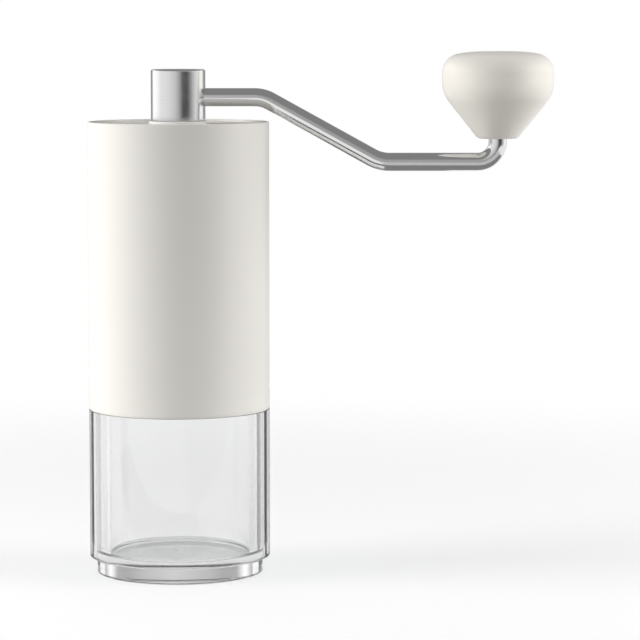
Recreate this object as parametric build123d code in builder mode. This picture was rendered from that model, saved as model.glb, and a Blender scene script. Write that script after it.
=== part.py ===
from build123d import *
from math import cos, radians, sin
import os

# Hand crank coffee grinder: a white barrel with a conical burr set, a clear cup that the barrel
# pushes onto, and a bent steel crank with a turning knob.
#
# The origin is on the barrel's axis, on the surface that the cup's foot stands on. +Z is up and
# the crank points to +X. Lengths are millimetres and angles are degrees.

os.makedirs("parts", exist_ok=True)

# ---------------------------------------------------------------------------------------------
# Fits
# ---------------------------------------------------------------------------------------------
press_gap = 0.01            # radial, between pieces that are pressed, screwed or clipped together
running_gap = 0.06          # radial, between pieces that turn or slide in one another
slip_gap = 0.10             # radial, between pieces that are pushed together by hand
lid_gap = 0.25              # radial, around the lid, which drops into the barrel's rim
end_gap = 0.40              # along the axis, between stacked pieces that must not bottom out
edge_break = 0.3            # chamfer on the edges of the barrel and the cup

# ---------------------------------------------------------------------------------------------
# Driving sizes
# ---------------------------------------------------------------------------------------------
# Cup
foot_step = 2.3             # how far the foot is set in from the cup's wall
foot_height = 5.5
cup_height = 54.8           # from the surface to the shoulder that the barrel sits on
cup_wall = 6.6
cup_floor = 7.0
cup_floor_fillet = 2.5
neck_height = 10.0
gate_mark_radius = 2.6
gate_mark_depth = 0.35
cup_seal_height = 1.8
cup_seal_depth = 1.0
cup_seal_drop = 3.0         # from the neck's top edge to the seal's groove
cup_seal_chamfer = 0.45

# Barrel
barrel_radius = 30.0
barrel_length = 95.2
barrel_wall = 2.0
rim_wall = 1.1
lid_recess = 0.8            # how far the lid lies below the rim
lip_height = 2.5
lip_width = 1.8

# Snap ring that holds the stack of pieces in the barrel
snap_ring_thickness = 1.2
snap_groove_depth = 0.65
snap_ring_width = 3.0
snap_ring_opening = 14.0    # angle between the ring's two ears
snap_ear_radius = 2.0
snap_ear_turn = 11.2        # angle from the middle of the opening to each ear
snap_ear_step = 0.5         # how far an ear's centre lies inside the ring
snap_ear_hole_radius = 0.9

# Burr housing and its screws
housing_wall = 4.9          # around the outer burr, room enough for the screws
housing_seat = 3.0          # thickness of the lip under the outer burr
housing_exit = 0.9          # how far the lip's hole stands back from the burrs
housing_band = 4.0
housing_relief = 0.6
screw_count = 3
screw_radius = 1.25
screw_head_radius = 2.2
screw_head_height = 2.5
screw_length = 18.0
screw_hex_across = 2.0
screw_hex_depth = 1.3

# Burrs. Heights are measured up from the inner burr's lower face.
land_height = 3.0
land_taper = 0.4
fine_height = 10.0
fine_step = 3.4             # from the burr's full radius in to the top of its fine teeth
burr_height = 20.0
nose_wall = 1.5             # between the spring's bore and the flutes at the nose
burr_gap = 0.5              # between the crests of the two burrs, as ground at a middle setting
burr_overhang = 1.0         # how far the inner burr stands out below the outer one
fine_tooth_count = 36
fine_tooth_depth = 0.8
fine_tooth_skew = 12.0
flute_count = 6
flute_depth = 2.6
flute_start = 5.0           # height where the flutes run out between the fine teeth
flute_mouth = 3.0           # how far the fluting cutter stands out of the cone
flute_spread = 20.0         # half the angle that a flute takes up
flute_twist = 54.0
ring_wall = 4.0             # of the outer burr at the widest end of the inner one
ring_height = 14.0
ring_throat = 0.9           # how much wider the throat is than the inner burr's fine cone
ring_throat_start = 8.5     # height where the ring's bore turns from the fine cone to the throat
ring_chamfer = 2.2
ring_tooth_count = 42
ring_flute_count = 8
ring_flute_depth = 3.0
ring_flute_start = 5.5      # height where the breaker flutes run out
ring_flute_foot = 0.8
ring_flute_spread = 14.0
ring_flute_twist = 16.0
groove_opening = 2.0        # of the grinding wheel that cuts the fine teeth
groove_steep = 0.25         # lean of the wheel's steep side, as a share of its opening
groove_shallow = 2.0        # lean of its shallow side
groove_overrun = 1.0        # how far the wheel's path goes on past the teeth

# Brackets that carry the bearings
bracket_arm_count = 3
bracket_arm_width = 4.0
bracket_arm_height = 5.5
bracket_hub_radius = 9.0
bracket_hub_chamfer = 1.5
lower_bracket_height = 15.0
funnel_seat = 2.4           # how far the funnel reaches in over the outer burr
funnel_edge = 1.0           # straight edge at the funnel's lower end
funnel_height = 11.0
hopper_wall = 1.7
upper_bracket_height = 10.0
hub_rise = 7.0              # from the lower bracket's underside to its hub
bearing_shoulder = 1.5
bearing_shoulder_radius = 5.3
bearing_recess = 1.0        # from a hub's open face to the bearing in it

# Ball bearings, 6 x 13 x 5 with the shaft's 6
bearing_outer_radius = 6.5
bearing_width = 5.0
race_wall = 1.15
ball_radius = 1.2
ball_count = 7
bearing_seal_thickness = 0.3

# Drive shaft
shaft_radius = 3.0
shaft_flats_across = 5.0
shaft_tail = 1.5            # how far the shaft stands out below the dial
shaft_chamfer = 0.4
hex_height = 14.0
clip_thickness = 0.6
clip_groove_depth = 0.5
clip_outer_radius = 4.6
clip_opening = 4.6

# Spring and washer over the inner burr
spring_wire_radius = 0.4
spring_outer_radius = 4.3
spring_turns = 5.5
spring_seat_height = 9.0    # height of the spring's seat inside the burr
wire_sides = 6
washer_thickness = 0.8
washer_radius = 5.0

# Click plate and adjusting dial
plate_thickness = 2.0
plate_step = 1.5            # how much smaller the plate is than the dial
detent_count = 24
detent_ball_radius = 1.2
detent_ball_rise = 0.5
detent_drop = 0.5           # from the ball's track to the bottom of a detent
detent_dimple_radius = 0.8
dial_step = 5.0             # how much smaller the dial is than the burr
dial_height = 7.5
dial_scallop_count = 12
dial_scallop_radius = 3.2
dial_scallop_offset = 2.2
dial_chamfer = 0.8
detent_ball_count = 2
detent_pocket_depth = 5.0
detent_spring_wire_radius = 0.2
detent_spring_turns = 3.0

# Lid
lid_thickness = 2.0
lid_edge_fillet = 0.5
lid_plug_depth = 3.8
lid_plug_wall = 2.2
lid_boss_radius = 9.6
lid_boss_depth = 3.3
lid_seal_height = 1.4
lid_seal_depth = 0.8
lid_seal_chamfer = 0.28
collar_thickness = 1.0
collar_radius = 9.6
collar_fillet = 0.25

# Crank
hub_radius = 9.0
hub_height = 17.0
hub_edge_fillet = 0.7
spigot_radius = 7.0
spigot_tail = 1.4           # below the clip's groove and boss
hub_clip_thickness = 0.7
hub_clip_groove_depth = 0.6
hub_clip_outer_radius = 8.8
hub_clip_opening = 11.0
socket_depth_over_shaft = 0.8
arm_radius = 3.0
arm_height = 7.8            # from the hub's lower face to the arm's upper run
arm_drop = 21.3             # from the upper run down to the lower run
first_bend_x = 28.0
second_bend_x = 66.6
crank_radius = 105.5        # from the barrel's axis to the knob's axis
first_bend_radius = 10.5
second_bend_radius = 12.6
third_bend_radius = 6.6
arm_insertion = 5.0         # how deep the arm goes into the hub's wall

# Knob
knob_radius = 18.5
knob_height = 28.7
knob_base_radius = 6.6
knob_cone_height = 14.6
knob_dome = 1.75            # how far the top falls from its centre to the full radius
knob_base_fillet = 2.8
knob_cone_fillet = 7.0
knob_top_fillet = 5.5
knob_lift = 7.7             # from the lower run's centreline up to the knob
sleeve_wall = 1.9
sleeve_length = 17.0
sleeve_recess = 0.8
spindle_tail = 2.2          # of the arm's end above the knob's clip
knob_bore_end_gap = 2.0

# ---------------------------------------------------------------------------------------------
# Radii, from the barrel's wall in to the shaft, and the screws' angle
# ---------------------------------------------------------------------------------------------
foot_radius = barrel_radius - foot_step
cup_bore_radius = barrel_radius - cup_wall
bore_radius = barrel_radius - barrel_wall
neck_radius = bore_radius - slip_gap
stack_radius = bore_radius - slip_gap
hopper_radius = stack_radius - hopper_wall

ring_outer_radius = stack_radius - housing_wall
screw_circle_radius = (ring_outer_radius + stack_radius) / 2
screw_turn = 90 - 180 / bracket_arm_count   # midway between two of the brackets' arms
burr_radius = ring_outer_radius - ring_wall
housing_exit_radius = burr_radius + burr_gap + housing_exit
funnel_exit_radius = ring_outer_radius - funnel_seat
fine_top_radius = burr_radius - fine_step
ring_throat_radius = fine_top_radius + ring_throat
spring_bore_radius = spring_outer_radius + slip_gap
nose_radius = spring_bore_radius + nose_wall + flute_depth

dial_radius = burr_radius - dial_step
plate_radius = dial_radius - plate_step
detent_circle_radius = (shaft_radius + plate_radius) / 2

ball_circle_radius = (shaft_radius + bearing_outer_radius) / 2
inner_race_radius = shaft_radius + race_wall
outer_race_radius = bearing_outer_radius - race_wall
arm_root_radius = (bearing_outer_radius + bracket_hub_radius) / 2

lid_radius = barrel_radius - rim_wall - lid_gap
plug_radius = hopper_radius - lid_gap
knob_bore_radius = arm_radius + running_gap + sleeve_wall + press_gap

# ---------------------------------------------------------------------------------------------
# Levels, from the surface up
# ---------------------------------------------------------------------------------------------
seam_z = cup_height
neck_top_z = seam_z + neck_height
barrel_top_z = seam_z + barrel_length

snap_ring_z = neck_top_z + end_gap
housing_z = snap_ring_z + snap_ring_thickness
ring_z = housing_z + housing_seat
lower_bracket_z = ring_z + ring_height
burr_z = ring_z - burr_overhang
burr_top_z = burr_z + burr_height
lower_hub_z = lower_bracket_z + hub_rise
lower_bearing_z = lower_hub_z + bearing_recess
sleeve_z = lower_bracket_z + lower_bracket_height

lid_top_z = barrel_top_z - lid_recess
lid_z = lid_top_z - lid_thickness
lip_z = lid_z - lip_height
upper_bracket_z = lip_z - upper_bracket_height
upper_bearing_z = upper_bracket_z + bearing_shoulder

plate_z = burr_z - plate_thickness
dial_top_z = plate_z - running_gap
dial_z = dial_top_z - dial_height

collar_top_z = lid_top_z + collar_thickness
hub_z = collar_top_z
hub_top_z = hub_z + hub_height
lid_boss_z = lid_z - lid_boss_depth
spigot_z = lid_boss_z - spigot_tail
arm_top_z = hub_z + arm_height
arm_low_z = arm_top_z - arm_drop
knob_z = arm_low_z + knob_lift
knob_top_z = knob_z + knob_height

# The hexagon on the shaft's top end starts above the upper bearing and its clip.
hex_z = spigot_z + end_gap
shaft_top_z = hex_z + hex_height
shaft_z = dial_z - shaft_tail
spring_z = burr_z + spring_seat_height
washer_z = lower_bearing_z - washer_thickness
bracket_hub_height = bearing_recess + bearing_width + bearing_shoulder


# ---------------------------------------------------------------------------------------------
# Shapes that more than one piece uses
# ---------------------------------------------------------------------------------------------
def clip_outline(inner, outer, opening):
    """Flat spring clip: a ring with a straight opening towards +Y."""
    with BuildSketch() as outline:
        Circle(outer)
        Circle(inner, mode=Mode.SUBTRACT)
        with Locations((0, outer)):
            Rectangle(opening, 2 * outer, mode=Mode.SUBTRACT)
    return outline.sketch


def flatted_outline(gap):
    """Section of the shaft's lower end, a circle with two flats, grown by a clearance."""
    with BuildSketch() as outline:
        Circle(shaft_radius + gap)
        Rectangle(shaft_flats_across + 2 * gap, 4 * shaft_radius, mode=Mode.INTERSECT)
    return outline.sketch


def spider(level):
    """Hub of a bearing bracket with its arms, each with a roof that beans slide off."""
    with BuildPart() as web:
        for arm in range(bracket_arm_count):
            turn = radians(90 + arm * 360 / bracket_arm_count)
            outward = (cos(turn), sin(turn), 0)
            sideways = (-sin(turn), cos(turn), 0)
            root = (arm_root_radius * cos(turn), arm_root_radius * sin(turn), level)
            with BuildSketch(Plane(origin=root, x_dir=sideways, z_dir=outward)):
                with BuildLine():
                    Polyline(
                        (-bracket_arm_width / 2, 0),
                        (bracket_arm_width / 2, 0),
                        (bracket_arm_width / 2, bracket_arm_height - bracket_arm_width / 2),
                        (0, bracket_arm_height),
                        (-bracket_arm_width / 2, bracket_arm_height - bracket_arm_width / 2),
                        close=True,
                    )
                make_face()
            extrude(amount=hopper_radius + hopper_wall / 2 - arm_root_radius)
        with BuildSketch(Plane.XY.offset(level)):
            Circle(bracket_hub_radius)
        extrude(amount=bracket_hub_height)
        rim = web.edges().filter_by(GeomType.CIRCLE).sort_by(Axis.Z)[-1]
        chamfer(rim, length=bracket_hub_chamfer)
    return web.part


def coil(radius, low, high, turns, wire_radius, sides):
    """Helical spring standing on the axis between two levels, wound from drawn wire."""
    with BuildPart() as spring:
        with BuildLine() as wire:
            rise = high - low - 2 * wire_radius
            Helix(rise / turns, rise, radius, center=(0, 0, low + wire_radius))
        with BuildSketch(Plane(origin=wire.line @ 0, x_dir=(1, 0, 0), z_dir=wire.line % 0)):
            RegularPolygon(wire_radius, sides)
        sweep(is_frenet=True)
    return spring.part


def groove_cutter(low, high, skew, opening):
    """Straight saw-tooth groove whose root runs between two (radius, level) points.

    The prism is set askew about the surface's normal. A positive opening cuts outwards from the
    root, for teeth on a cone, and a negative one cuts inwards, for teeth in a bore.
    """
    along = Vector(high[0] - low[0], 0, high[1] - low[1])
    middle = Vector((low[0] + high[0]) / 2, 0, (low[1] + high[1]) / 2)
    out = Vector(along.Z, 0, -along.X).normalized()
    run = along.normalized().rotate(Axis((0, 0, 0), (out.X, out.Y, out.Z)), skew)
    with BuildPart() as cutter:
        with BuildSketch(Plane(origin=middle, x_dir=out, z_dir=run)):
            with BuildLine():
                Polyline(
                    (0, 0),
                    (opening, -groove_steep * abs(opening)),
                    (opening, groove_shallow * abs(opening)),
                    close=True,
                )
            make_face()
        extrude(amount=along.length / 2, both=True)
    return cutter.part


def flute_cutter(levels, roots, mouths, half_angle, twist):
    """Helical V-shaped flute, lofted through one triangle at each level."""
    with BuildPart() as cutter:
        for level, root, mouth in zip(levels, roots, mouths):
            turn = twist * (level - levels[0]) / (levels[-1] - levels[0])
            corners = [
                (mouth, turn - half_angle),
                (root, turn + half_angle / 2),
                (mouth, turn + half_angle),
            ]
            with BuildSketch(Plane.XY.offset(level)):
                with BuildLine():
                    Polyline(
                        *[(r * cos(radians(a)), r * sin(radians(a))) for r, a in corners],
                        close=True,
                    )
                make_face()
        loft(ruled=True)
    return cutter.part


# ---------------------------------------------------------------------------------------------
# Cup: clear, thick-walled, with a stepped foot and a neck that goes up into the barrel
# ---------------------------------------------------------------------------------------------
with BuildPart() as cup:
    with BuildSketch(Plane.XZ) as section:
        with BuildLine():
            Polyline(
                (0, 0),
                (foot_radius, 0),
                (foot_radius, foot_height),
                (barrel_radius, foot_height),
                (barrel_radius, seam_z),
                (neck_radius, seam_z),
                (neck_radius, neck_top_z),
                (cup_bore_radius, neck_top_z),
                (cup_bore_radius, cup_floor),
                (0, cup_floor),
                close=True,
            )
        make_face()
        floor_corner = section.vertices().sort_by_distance((cup_bore_radius, cup_floor))[0]
        fillet(floor_corner, radius=cup_floor_fillet)
        outside = section.vertices().filter_by_position(Axis.X, foot_radius, barrel_radius)
        chamfer(outside.filter_by_position(Axis.Y, -1, foot_height), length=edge_break)
    revolve(axis=Axis.Z)
    seal_groove_z = neck_top_z - cup_seal_drop - cup_seal_height
    with BuildSketch(Plane.XY.offset(seal_groove_z)):
        Circle(barrel_radius)
        Circle(neck_radius - cup_seal_depth, mode=Mode.SUBTRACT)
    extrude(amount=cup_seal_height, mode=Mode.SUBTRACT)
    gate_radius = (gate_mark_radius**2 + gate_mark_depth**2) / (2 * gate_mark_depth)
    with Locations((0, 0, cup_floor + gate_radius - gate_mark_depth)):
        Sphere(gate_radius, mode=Mode.SUBTRACT)
cup.part.label = "cup"
export_step(cup.part, "parts/cup.step")

with BuildPart() as cup_seal:
    with BuildSketch(Plane.XZ) as section:
        with Locations((neck_radius - cup_seal_depth + press_gap, seal_groove_z + press_gap)):
            Rectangle(
                bore_radius - neck_radius + cup_seal_depth - running_gap,
                cup_seal_height - 2 * press_gap,
                align=(Align.MIN, Align.MIN),
            )
        chamfer(section.vertices(), length=cup_seal_chamfer)
    revolve(axis=Axis.Z)
cup_seal.part.label = "cup_seal"
export_step(cup_seal.part, "parts/cup_seal.step")

# ---------------------------------------------------------------------------------------------
# Barrel: the white tube with a thin rim, a lip for the lid and a groove for the snap ring
# ---------------------------------------------------------------------------------------------
with BuildPart() as barrel_shell:
    with BuildSketch(Plane.XZ) as section:
        with BuildLine():
            Polyline(
                (bore_radius, seam_z),
                (barrel_radius, seam_z),
                (barrel_radius, barrel_top_z),
                (barrel_radius - rim_wall, barrel_top_z),
                (barrel_radius - rim_wall, lid_z),
                (bore_radius - lip_width, lid_z),
                (bore_radius - lip_width, lip_z),
                (bore_radius, lip_z),
                close=True,
            )
        make_face()
        chamfer(section.vertices().group_by(Axis.Y)[0], length=edge_break)
        chamfer(section.vertices().group_by(Axis.Y)[-1], length=edge_break)
    revolve(axis=Axis.Z)
    with BuildSketch(Plane.XY.offset(snap_ring_z - press_gap)):
        Circle(bore_radius + snap_groove_depth)
    extrude(amount=snap_ring_thickness + 2 * press_gap, mode=Mode.SUBTRACT)
barrel_shell.part.label = "barrel_shell"
export_step(barrel_shell.part, "parts/barrel_shell.step")

with BuildPart() as snap_ring:
    snap_outer = bore_radius + snap_groove_depth - press_gap
    snap_inner = snap_outer - snap_ring_width
    with BuildSketch(Plane.XY.offset(snap_ring_z)):
        add(clip_outline(snap_inner, snap_outer, 2 * snap_outer * sin(radians(snap_ring_opening / 2))))
        for side in (-1, 1):
            ear_turn = radians(90 + side * snap_ear_turn)
            ear_distance = snap_inner - snap_ear_step
            with Locations((ear_distance * cos(ear_turn), ear_distance * sin(ear_turn))):
                Circle(snap_ear_radius)
                Circle(snap_ear_hole_radius, mode=Mode.SUBTRACT)
    extrude(amount=snap_ring_thickness)
snap_ring.part.label = "snap_ring"
export_step(snap_ring.part, "parts/snap_ring.step")

# ---------------------------------------------------------------------------------------------
# Burr housing, the toothed ring burr in it, and the screws up into the lower bracket
# ---------------------------------------------------------------------------------------------
with BuildPart() as burr_housing:
    with BuildSketch(Plane.XZ):
        with BuildLine():
            Polyline(
                (housing_exit_radius, housing_z),
                (stack_radius, housing_z),
                (stack_radius, housing_z + housing_band),
                (stack_radius - housing_relief, housing_z + housing_band),
                (stack_radius - housing_relief, lower_bracket_z - housing_band),
                (stack_radius, lower_bracket_z - housing_band),
                (stack_radius, lower_bracket_z),
                (ring_outer_radius + press_gap, lower_bracket_z),
                (ring_outer_radius + press_gap, ring_z),
                (housing_exit_radius, ring_z),
                close=True,
            )
        make_face()
    revolve(axis=Axis.Z)
    for radius, low, height in (
        (screw_head_radius + slip_gap, housing_z, screw_head_height),
        (screw_radius + press_gap, housing_z, ring_height + housing_seat),
    ):
        with BuildSketch(Plane.XY.offset(low)):
            with PolarLocations(screw_circle_radius, screw_count, start_angle=screw_turn):
                Circle(radius)
        extrude(amount=height, mode=Mode.SUBTRACT)
burr_housing.part.label = "burr_housing"
export_step(burr_housing.part, "parts/burr_housing.step")

fine_lean = (burr_radius - land_taper - fine_top_radius) / (fine_height - land_height)


def cone_radius(height):
    """Radius of the inner burr's fine cone at a height above its lower face."""
    return burr_radius - land_taper - (height - land_height) * fine_lean


with BuildPart() as outer_burr:
    with BuildSketch(Plane.XZ):
        with BuildLine():
            Polyline(
                (burr_radius + burr_gap, ring_z),
                (ring_outer_radius, ring_z),
                (ring_outer_radius, lower_bracket_z),
                (ring_throat_radius + ring_chamfer, lower_bracket_z),
                (ring_throat_radius, lower_bracket_z - ring_chamfer),
                (cone_radius(ring_throat_start) + burr_gap, burr_z + ring_throat_start),
                (cone_radius(land_height) + burr_gap, burr_z + land_height),
                close=True,
            )
        make_face()
    revolve(axis=Axis.Z)
    ring_groove_top = cone_radius(ring_throat_start) + burr_gap + fine_tooth_depth
    fine_groove = groove_cutter(
        (burr_radius + burr_gap + fine_tooth_depth / 2, burr_z),
        (ring_groove_top, burr_z + ring_throat_start + groove_overrun),
        -fine_tooth_skew,
        -groove_opening,
    )
    with PolarLocations(0, ring_tooth_count):
        add(fine_groove, mode=Mode.SUBTRACT)
    ring_flute = flute_cutter(
        [burr_z + ring_flute_start, lower_bracket_z + end_gap],
        [ring_throat_radius + ring_flute_foot, ring_throat_radius + ring_flute_depth],
        [ring_throat_radius - groove_opening, ring_throat_radius - groove_opening],
        ring_flute_spread,
        -ring_flute_twist,
    )
    with PolarLocations(0, ring_flute_count):
        add(ring_flute, mode=Mode.SUBTRACT)
outer_burr.part.label = "outer_burr"
export_step(outer_burr.part, "parts/outer_burr.step")

with BuildPart() as housing_screws:
    with BuildSketch(Plane.XY.offset(housing_z)):
        with PolarLocations(screw_circle_radius, screw_count, start_angle=screw_turn):
            Circle(screw_head_radius)
    extrude(amount=screw_head_height)
    with BuildSketch(Plane.XY.offset(housing_z + screw_head_height)):
        with PolarLocations(screw_circle_radius, screw_count, start_angle=screw_turn):
            Circle(screw_radius)
    extrude(amount=screw_length)
    with BuildSketch(Plane.XY.offset(housing_z)):
        with PolarLocations(screw_circle_radius, screw_count, start_angle=screw_turn):
            RegularPolygon(screw_hex_across / 2, 6, major_radius=False)
    extrude(amount=screw_hex_depth, mode=Mode.SUBTRACT)
housing_screws.part.label = "housing_screws"
export_step(housing_screws.part, "parts/housing_screws.step")

# ---------------------------------------------------------------------------------------------
# Brackets and the hopper's sleeve: the stack that stands on the burr housing
# ---------------------------------------------------------------------------------------------
lower_spider = spider(lower_hub_z)
with BuildPart() as lower_bracket:
    with BuildSketch(Plane.XZ):
        with BuildLine():
            Polyline(
                (funnel_exit_radius, lower_bracket_z),
                (stack_radius, lower_bracket_z),
                (stack_radius, sleeve_z),
                (hopper_radius, sleeve_z),
                (hopper_radius, lower_bracket_z + funnel_edge + funnel_height),
                (funnel_exit_radius, lower_bracket_z + funnel_edge),
                close=True,
            )
        make_face()
    revolve(axis=Axis.Z)
    add(lower_spider)
    with BuildSketch(Plane.XY.offset(lower_hub_z)):
        Circle(bearing_outer_radius + press_gap)
    extrude(amount=bearing_recess + bearing_width, mode=Mode.SUBTRACT)
    with BuildSketch(Plane.XY.offset(lower_hub_z)):
        Circle(bearing_shoulder_radius)
    extrude(amount=bracket_hub_height, mode=Mode.SUBTRACT)
    with BuildSketch(Plane.XY.offset(lower_bracket_z)):
        with PolarLocations(screw_circle_radius, screw_count, start_angle=screw_turn):
            Circle(screw_radius + press_gap)
    extrude(
        amount=housing_z + screw_head_height + screw_length + end_gap - lower_bracket_z,
        mode=Mode.SUBTRACT,
    )
lower_bracket.part.label = "lower_bracket"
export_step(lower_bracket.part, "parts/lower_bracket.step")

with BuildPart() as hopper_sleeve:
    with BuildSketch(Plane.XY.offset(sleeve_z)):
        Circle(stack_radius)
        Circle(hopper_radius, mode=Mode.SUBTRACT)
    extrude(amount=upper_bracket_z - sleeve_z)
hopper_sleeve.part.label = "hopper_sleeve"
export_step(hopper_sleeve.part, "parts/hopper_sleeve.step")

upper_spider = spider(upper_bracket_z)
with BuildPart() as upper_bracket:
    with BuildSketch(Plane.XY.offset(upper_bracket_z)):
        Circle(stack_radius)
        Circle(hopper_radius, mode=Mode.SUBTRACT)
    extrude(amount=upper_bracket_height)
    add(upper_spider)
    with BuildSketch(Plane.XY.offset(upper_bearing_z)):
        Circle(bearing_outer_radius + press_gap)
    extrude(amount=bearing_recess + bearing_width, mode=Mode.SUBTRACT)
    with BuildSketch(Plane.XY.offset(upper_bracket_z)):
        Circle(bearing_shoulder_radius)
    extrude(amount=bracket_hub_height, mode=Mode.SUBTRACT)
upper_bracket.part.label = "upper_bracket"
export_step(upper_bracket.part, "parts/upper_bracket.step")

# ---------------------------------------------------------------------------------------------
# The two ball bearings: races with a round groove, loose balls and thin seals at both ends
# ---------------------------------------------------------------------------------------------
for bearing, bearing_z in (("lower", lower_bearing_z), ("upper", upper_bearing_z)):
    ball_z = bearing_z + bearing_width / 2
    with BuildPart() as bearing_inner:
        with BuildSketch(Plane.XY.offset(bearing_z)):
            Circle(inner_race_radius)
            Circle(shaft_radius + press_gap, mode=Mode.SUBTRACT)
        extrude(amount=bearing_width)
        with BuildSketch(Plane.XZ):
            with Locations((ball_circle_radius, ball_z)):
                Circle(ball_radius + running_gap)
        revolve(axis=Axis.Z, mode=Mode.SUBTRACT)
    bearing_inner.part.label = f"{bearing}_bearing_inner"
    export_step(bearing_inner.part, f"parts/{bearing}_bearing_inner.step")

    with BuildPart() as bearing_outer:
        with BuildSketch(Plane.XY.offset(bearing_z)):
            Circle(bearing_outer_radius)
            Circle(outer_race_radius, mode=Mode.SUBTRACT)
        extrude(amount=bearing_width)
        with BuildSketch(Plane.XZ):
            with Locations((ball_circle_radius, ball_z)):
                Circle(ball_radius + running_gap)
        revolve(axis=Axis.Z, mode=Mode.SUBTRACT)
    bearing_outer.part.label = f"{bearing}_bearing_outer"
    export_step(bearing_outer.part, f"parts/{bearing}_bearing_outer.step")

    with BuildPart() as bearing_balls:
        with Locations((0, 0, ball_z)):
            with PolarLocations(ball_circle_radius, ball_count):
                Sphere(ball_radius)
    bearing_balls.part.label = f"{bearing}_bearing_balls"
    export_step(bearing_balls.part, f"parts/{bearing}_bearing_balls.step")

    with BuildPart() as bearing_seals:
        for seal_z in (bearing_z, bearing_z + bearing_width - bearing_seal_thickness):
            with BuildSketch(Plane.XY.offset(seal_z)):
                Circle(outer_race_radius - press_gap)
                Circle(inner_race_radius + running_gap, mode=Mode.SUBTRACT)
            extrude(amount=bearing_seal_thickness)
    bearing_seals.part.label = f"{bearing}_bearing_seals"
    export_step(bearing_seals.part, f"parts/{bearing}_bearing_seals.step")

# ---------------------------------------------------------------------------------------------
# Drive shaft with its clips, and the spring and washer that press the inner burr down
# ---------------------------------------------------------------------------------------------
upper_clip_levels = (
    upper_bearing_z - clip_thickness - press_gap,
    upper_bearing_z + bearing_width + press_gap,
)
with BuildPart() as drive_shaft:
    with BuildSketch(Plane.XY.offset(shaft_z)):
        add(flatted_outline(0))
    extrude(amount=spring_z + end_gap - shaft_z)
    with BuildSketch(Plane.XY.offset(spring_z + end_gap)):
        Circle(shaft_radius)
    extrude(amount=hex_z - spring_z - end_gap)
    with BuildSketch(Plane.XY.offset(hex_z)):
        RegularPolygon(shaft_radius, 6)
    extrude(amount=hex_height)
    chamfer(drive_shaft.faces().sort_by(Axis.Z)[-1].edges(), length=shaft_chamfer)
    chamfer(drive_shaft.faces().sort_by(Axis.Z)[0].edges(), length=shaft_chamfer)
    for level in upper_clip_levels:
        with BuildSketch(Plane.XY.offset(level - press_gap)):
            Circle(clip_outer_radius)
            Circle(shaft_radius - clip_groove_depth, mode=Mode.SUBTRACT)
        extrude(amount=clip_thickness + 2 * press_gap, mode=Mode.SUBTRACT)
drive_shaft.part.label = "drive_shaft"
export_step(drive_shaft.part, "parts/drive_shaft.step")

with BuildPart() as shaft_clips:
    for level in upper_clip_levels:
        with BuildSketch(Plane.XY.offset(level)):
            add(clip_outline(shaft_radius - clip_groove_depth + press_gap, clip_outer_radius, clip_opening))
        extrude(amount=clip_thickness)
shaft_clips.part.label = "shaft_clips"
export_step(shaft_clips.part, "parts/shaft_clips.step")

with BuildPart() as spring_washer:
    with BuildSketch(Plane.XY.offset(washer_z)):
        Circle(washer_radius)
        Circle(shaft_radius + running_gap, mode=Mode.SUBTRACT)
    extrude(amount=washer_thickness)
spring_washer.part.label = "spring_washer"
export_step(spring_washer.part, "parts/spring_washer.step")

with BuildPart() as burr_spring:
    add(
        coil(
            spring_outer_radius - spring_wire_radius,
            spring_z,
            washer_z,
            spring_turns,
            spring_wire_radius,
            wire_sides,
        )
    )
burr_spring.part.label = "burr_spring"
export_step(burr_spring.part, "parts/burr_spring.step")

# ---------------------------------------------------------------------------------------------
# Inner burr: a cone with helical flutes above and fine saw-tooth grooves below
# ---------------------------------------------------------------------------------------------
with BuildPart() as inner_burr:
    with BuildSketch(Plane.XZ):
        with BuildLine():
            Polyline(
                (0, burr_z),
                (burr_radius, burr_z),
                (burr_radius - land_taper, burr_z + land_height),
                (fine_top_radius, burr_z + fine_height),
                (nose_radius, burr_top_z),
                (0, burr_top_z),
                close=True,
            )
        make_face()
    revolve(axis=Axis.Z)
    cone_groove = groove_cutter(
        (burr_radius - fine_tooth_depth / 2, burr_z - groove_overrun),
        (fine_top_radius - fine_tooth_depth, burr_z + fine_height),
        fine_tooth_skew,
        groove_opening,
    )
    with PolarLocations(0, fine_tooth_count):
        add(cone_groove, mode=Mode.SUBTRACT)
    flute_path = [
        (burr_z + flute_start, cone_radius(flute_start), 0),
        (burr_z + fine_height, fine_top_radius, flute_depth / 2),
        (burr_z + (fine_height + burr_height) / 2, (fine_top_radius + nose_radius) / 2, flute_depth),
        (burr_top_z + end_gap, nose_radius, flute_depth),
    ]
    cone_flute = flute_cutter(
        [level for level, radius, depth in flute_path],
        [radius - depth for level, radius, depth in flute_path],
        [radius + flute_mouth for level, radius, depth in flute_path],
        flute_spread,
        flute_twist,
    )
    with PolarLocations(0, flute_count):
        add(cone_flute, mode=Mode.SUBTRACT)
    with BuildSketch(Plane.XY.offset(burr_z)):
        add(flatted_outline(running_gap))
    extrude(amount=spring_seat_height, mode=Mode.SUBTRACT)
    with BuildSketch(Plane.XY.offset(spring_z)):
        Circle(spring_bore_radius)
    extrude(amount=burr_height, mode=Mode.SUBTRACT)
inner_burr.part.label = "inner_burr"
export_step(inner_burr.part, "parts/inner_burr.step")

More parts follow.
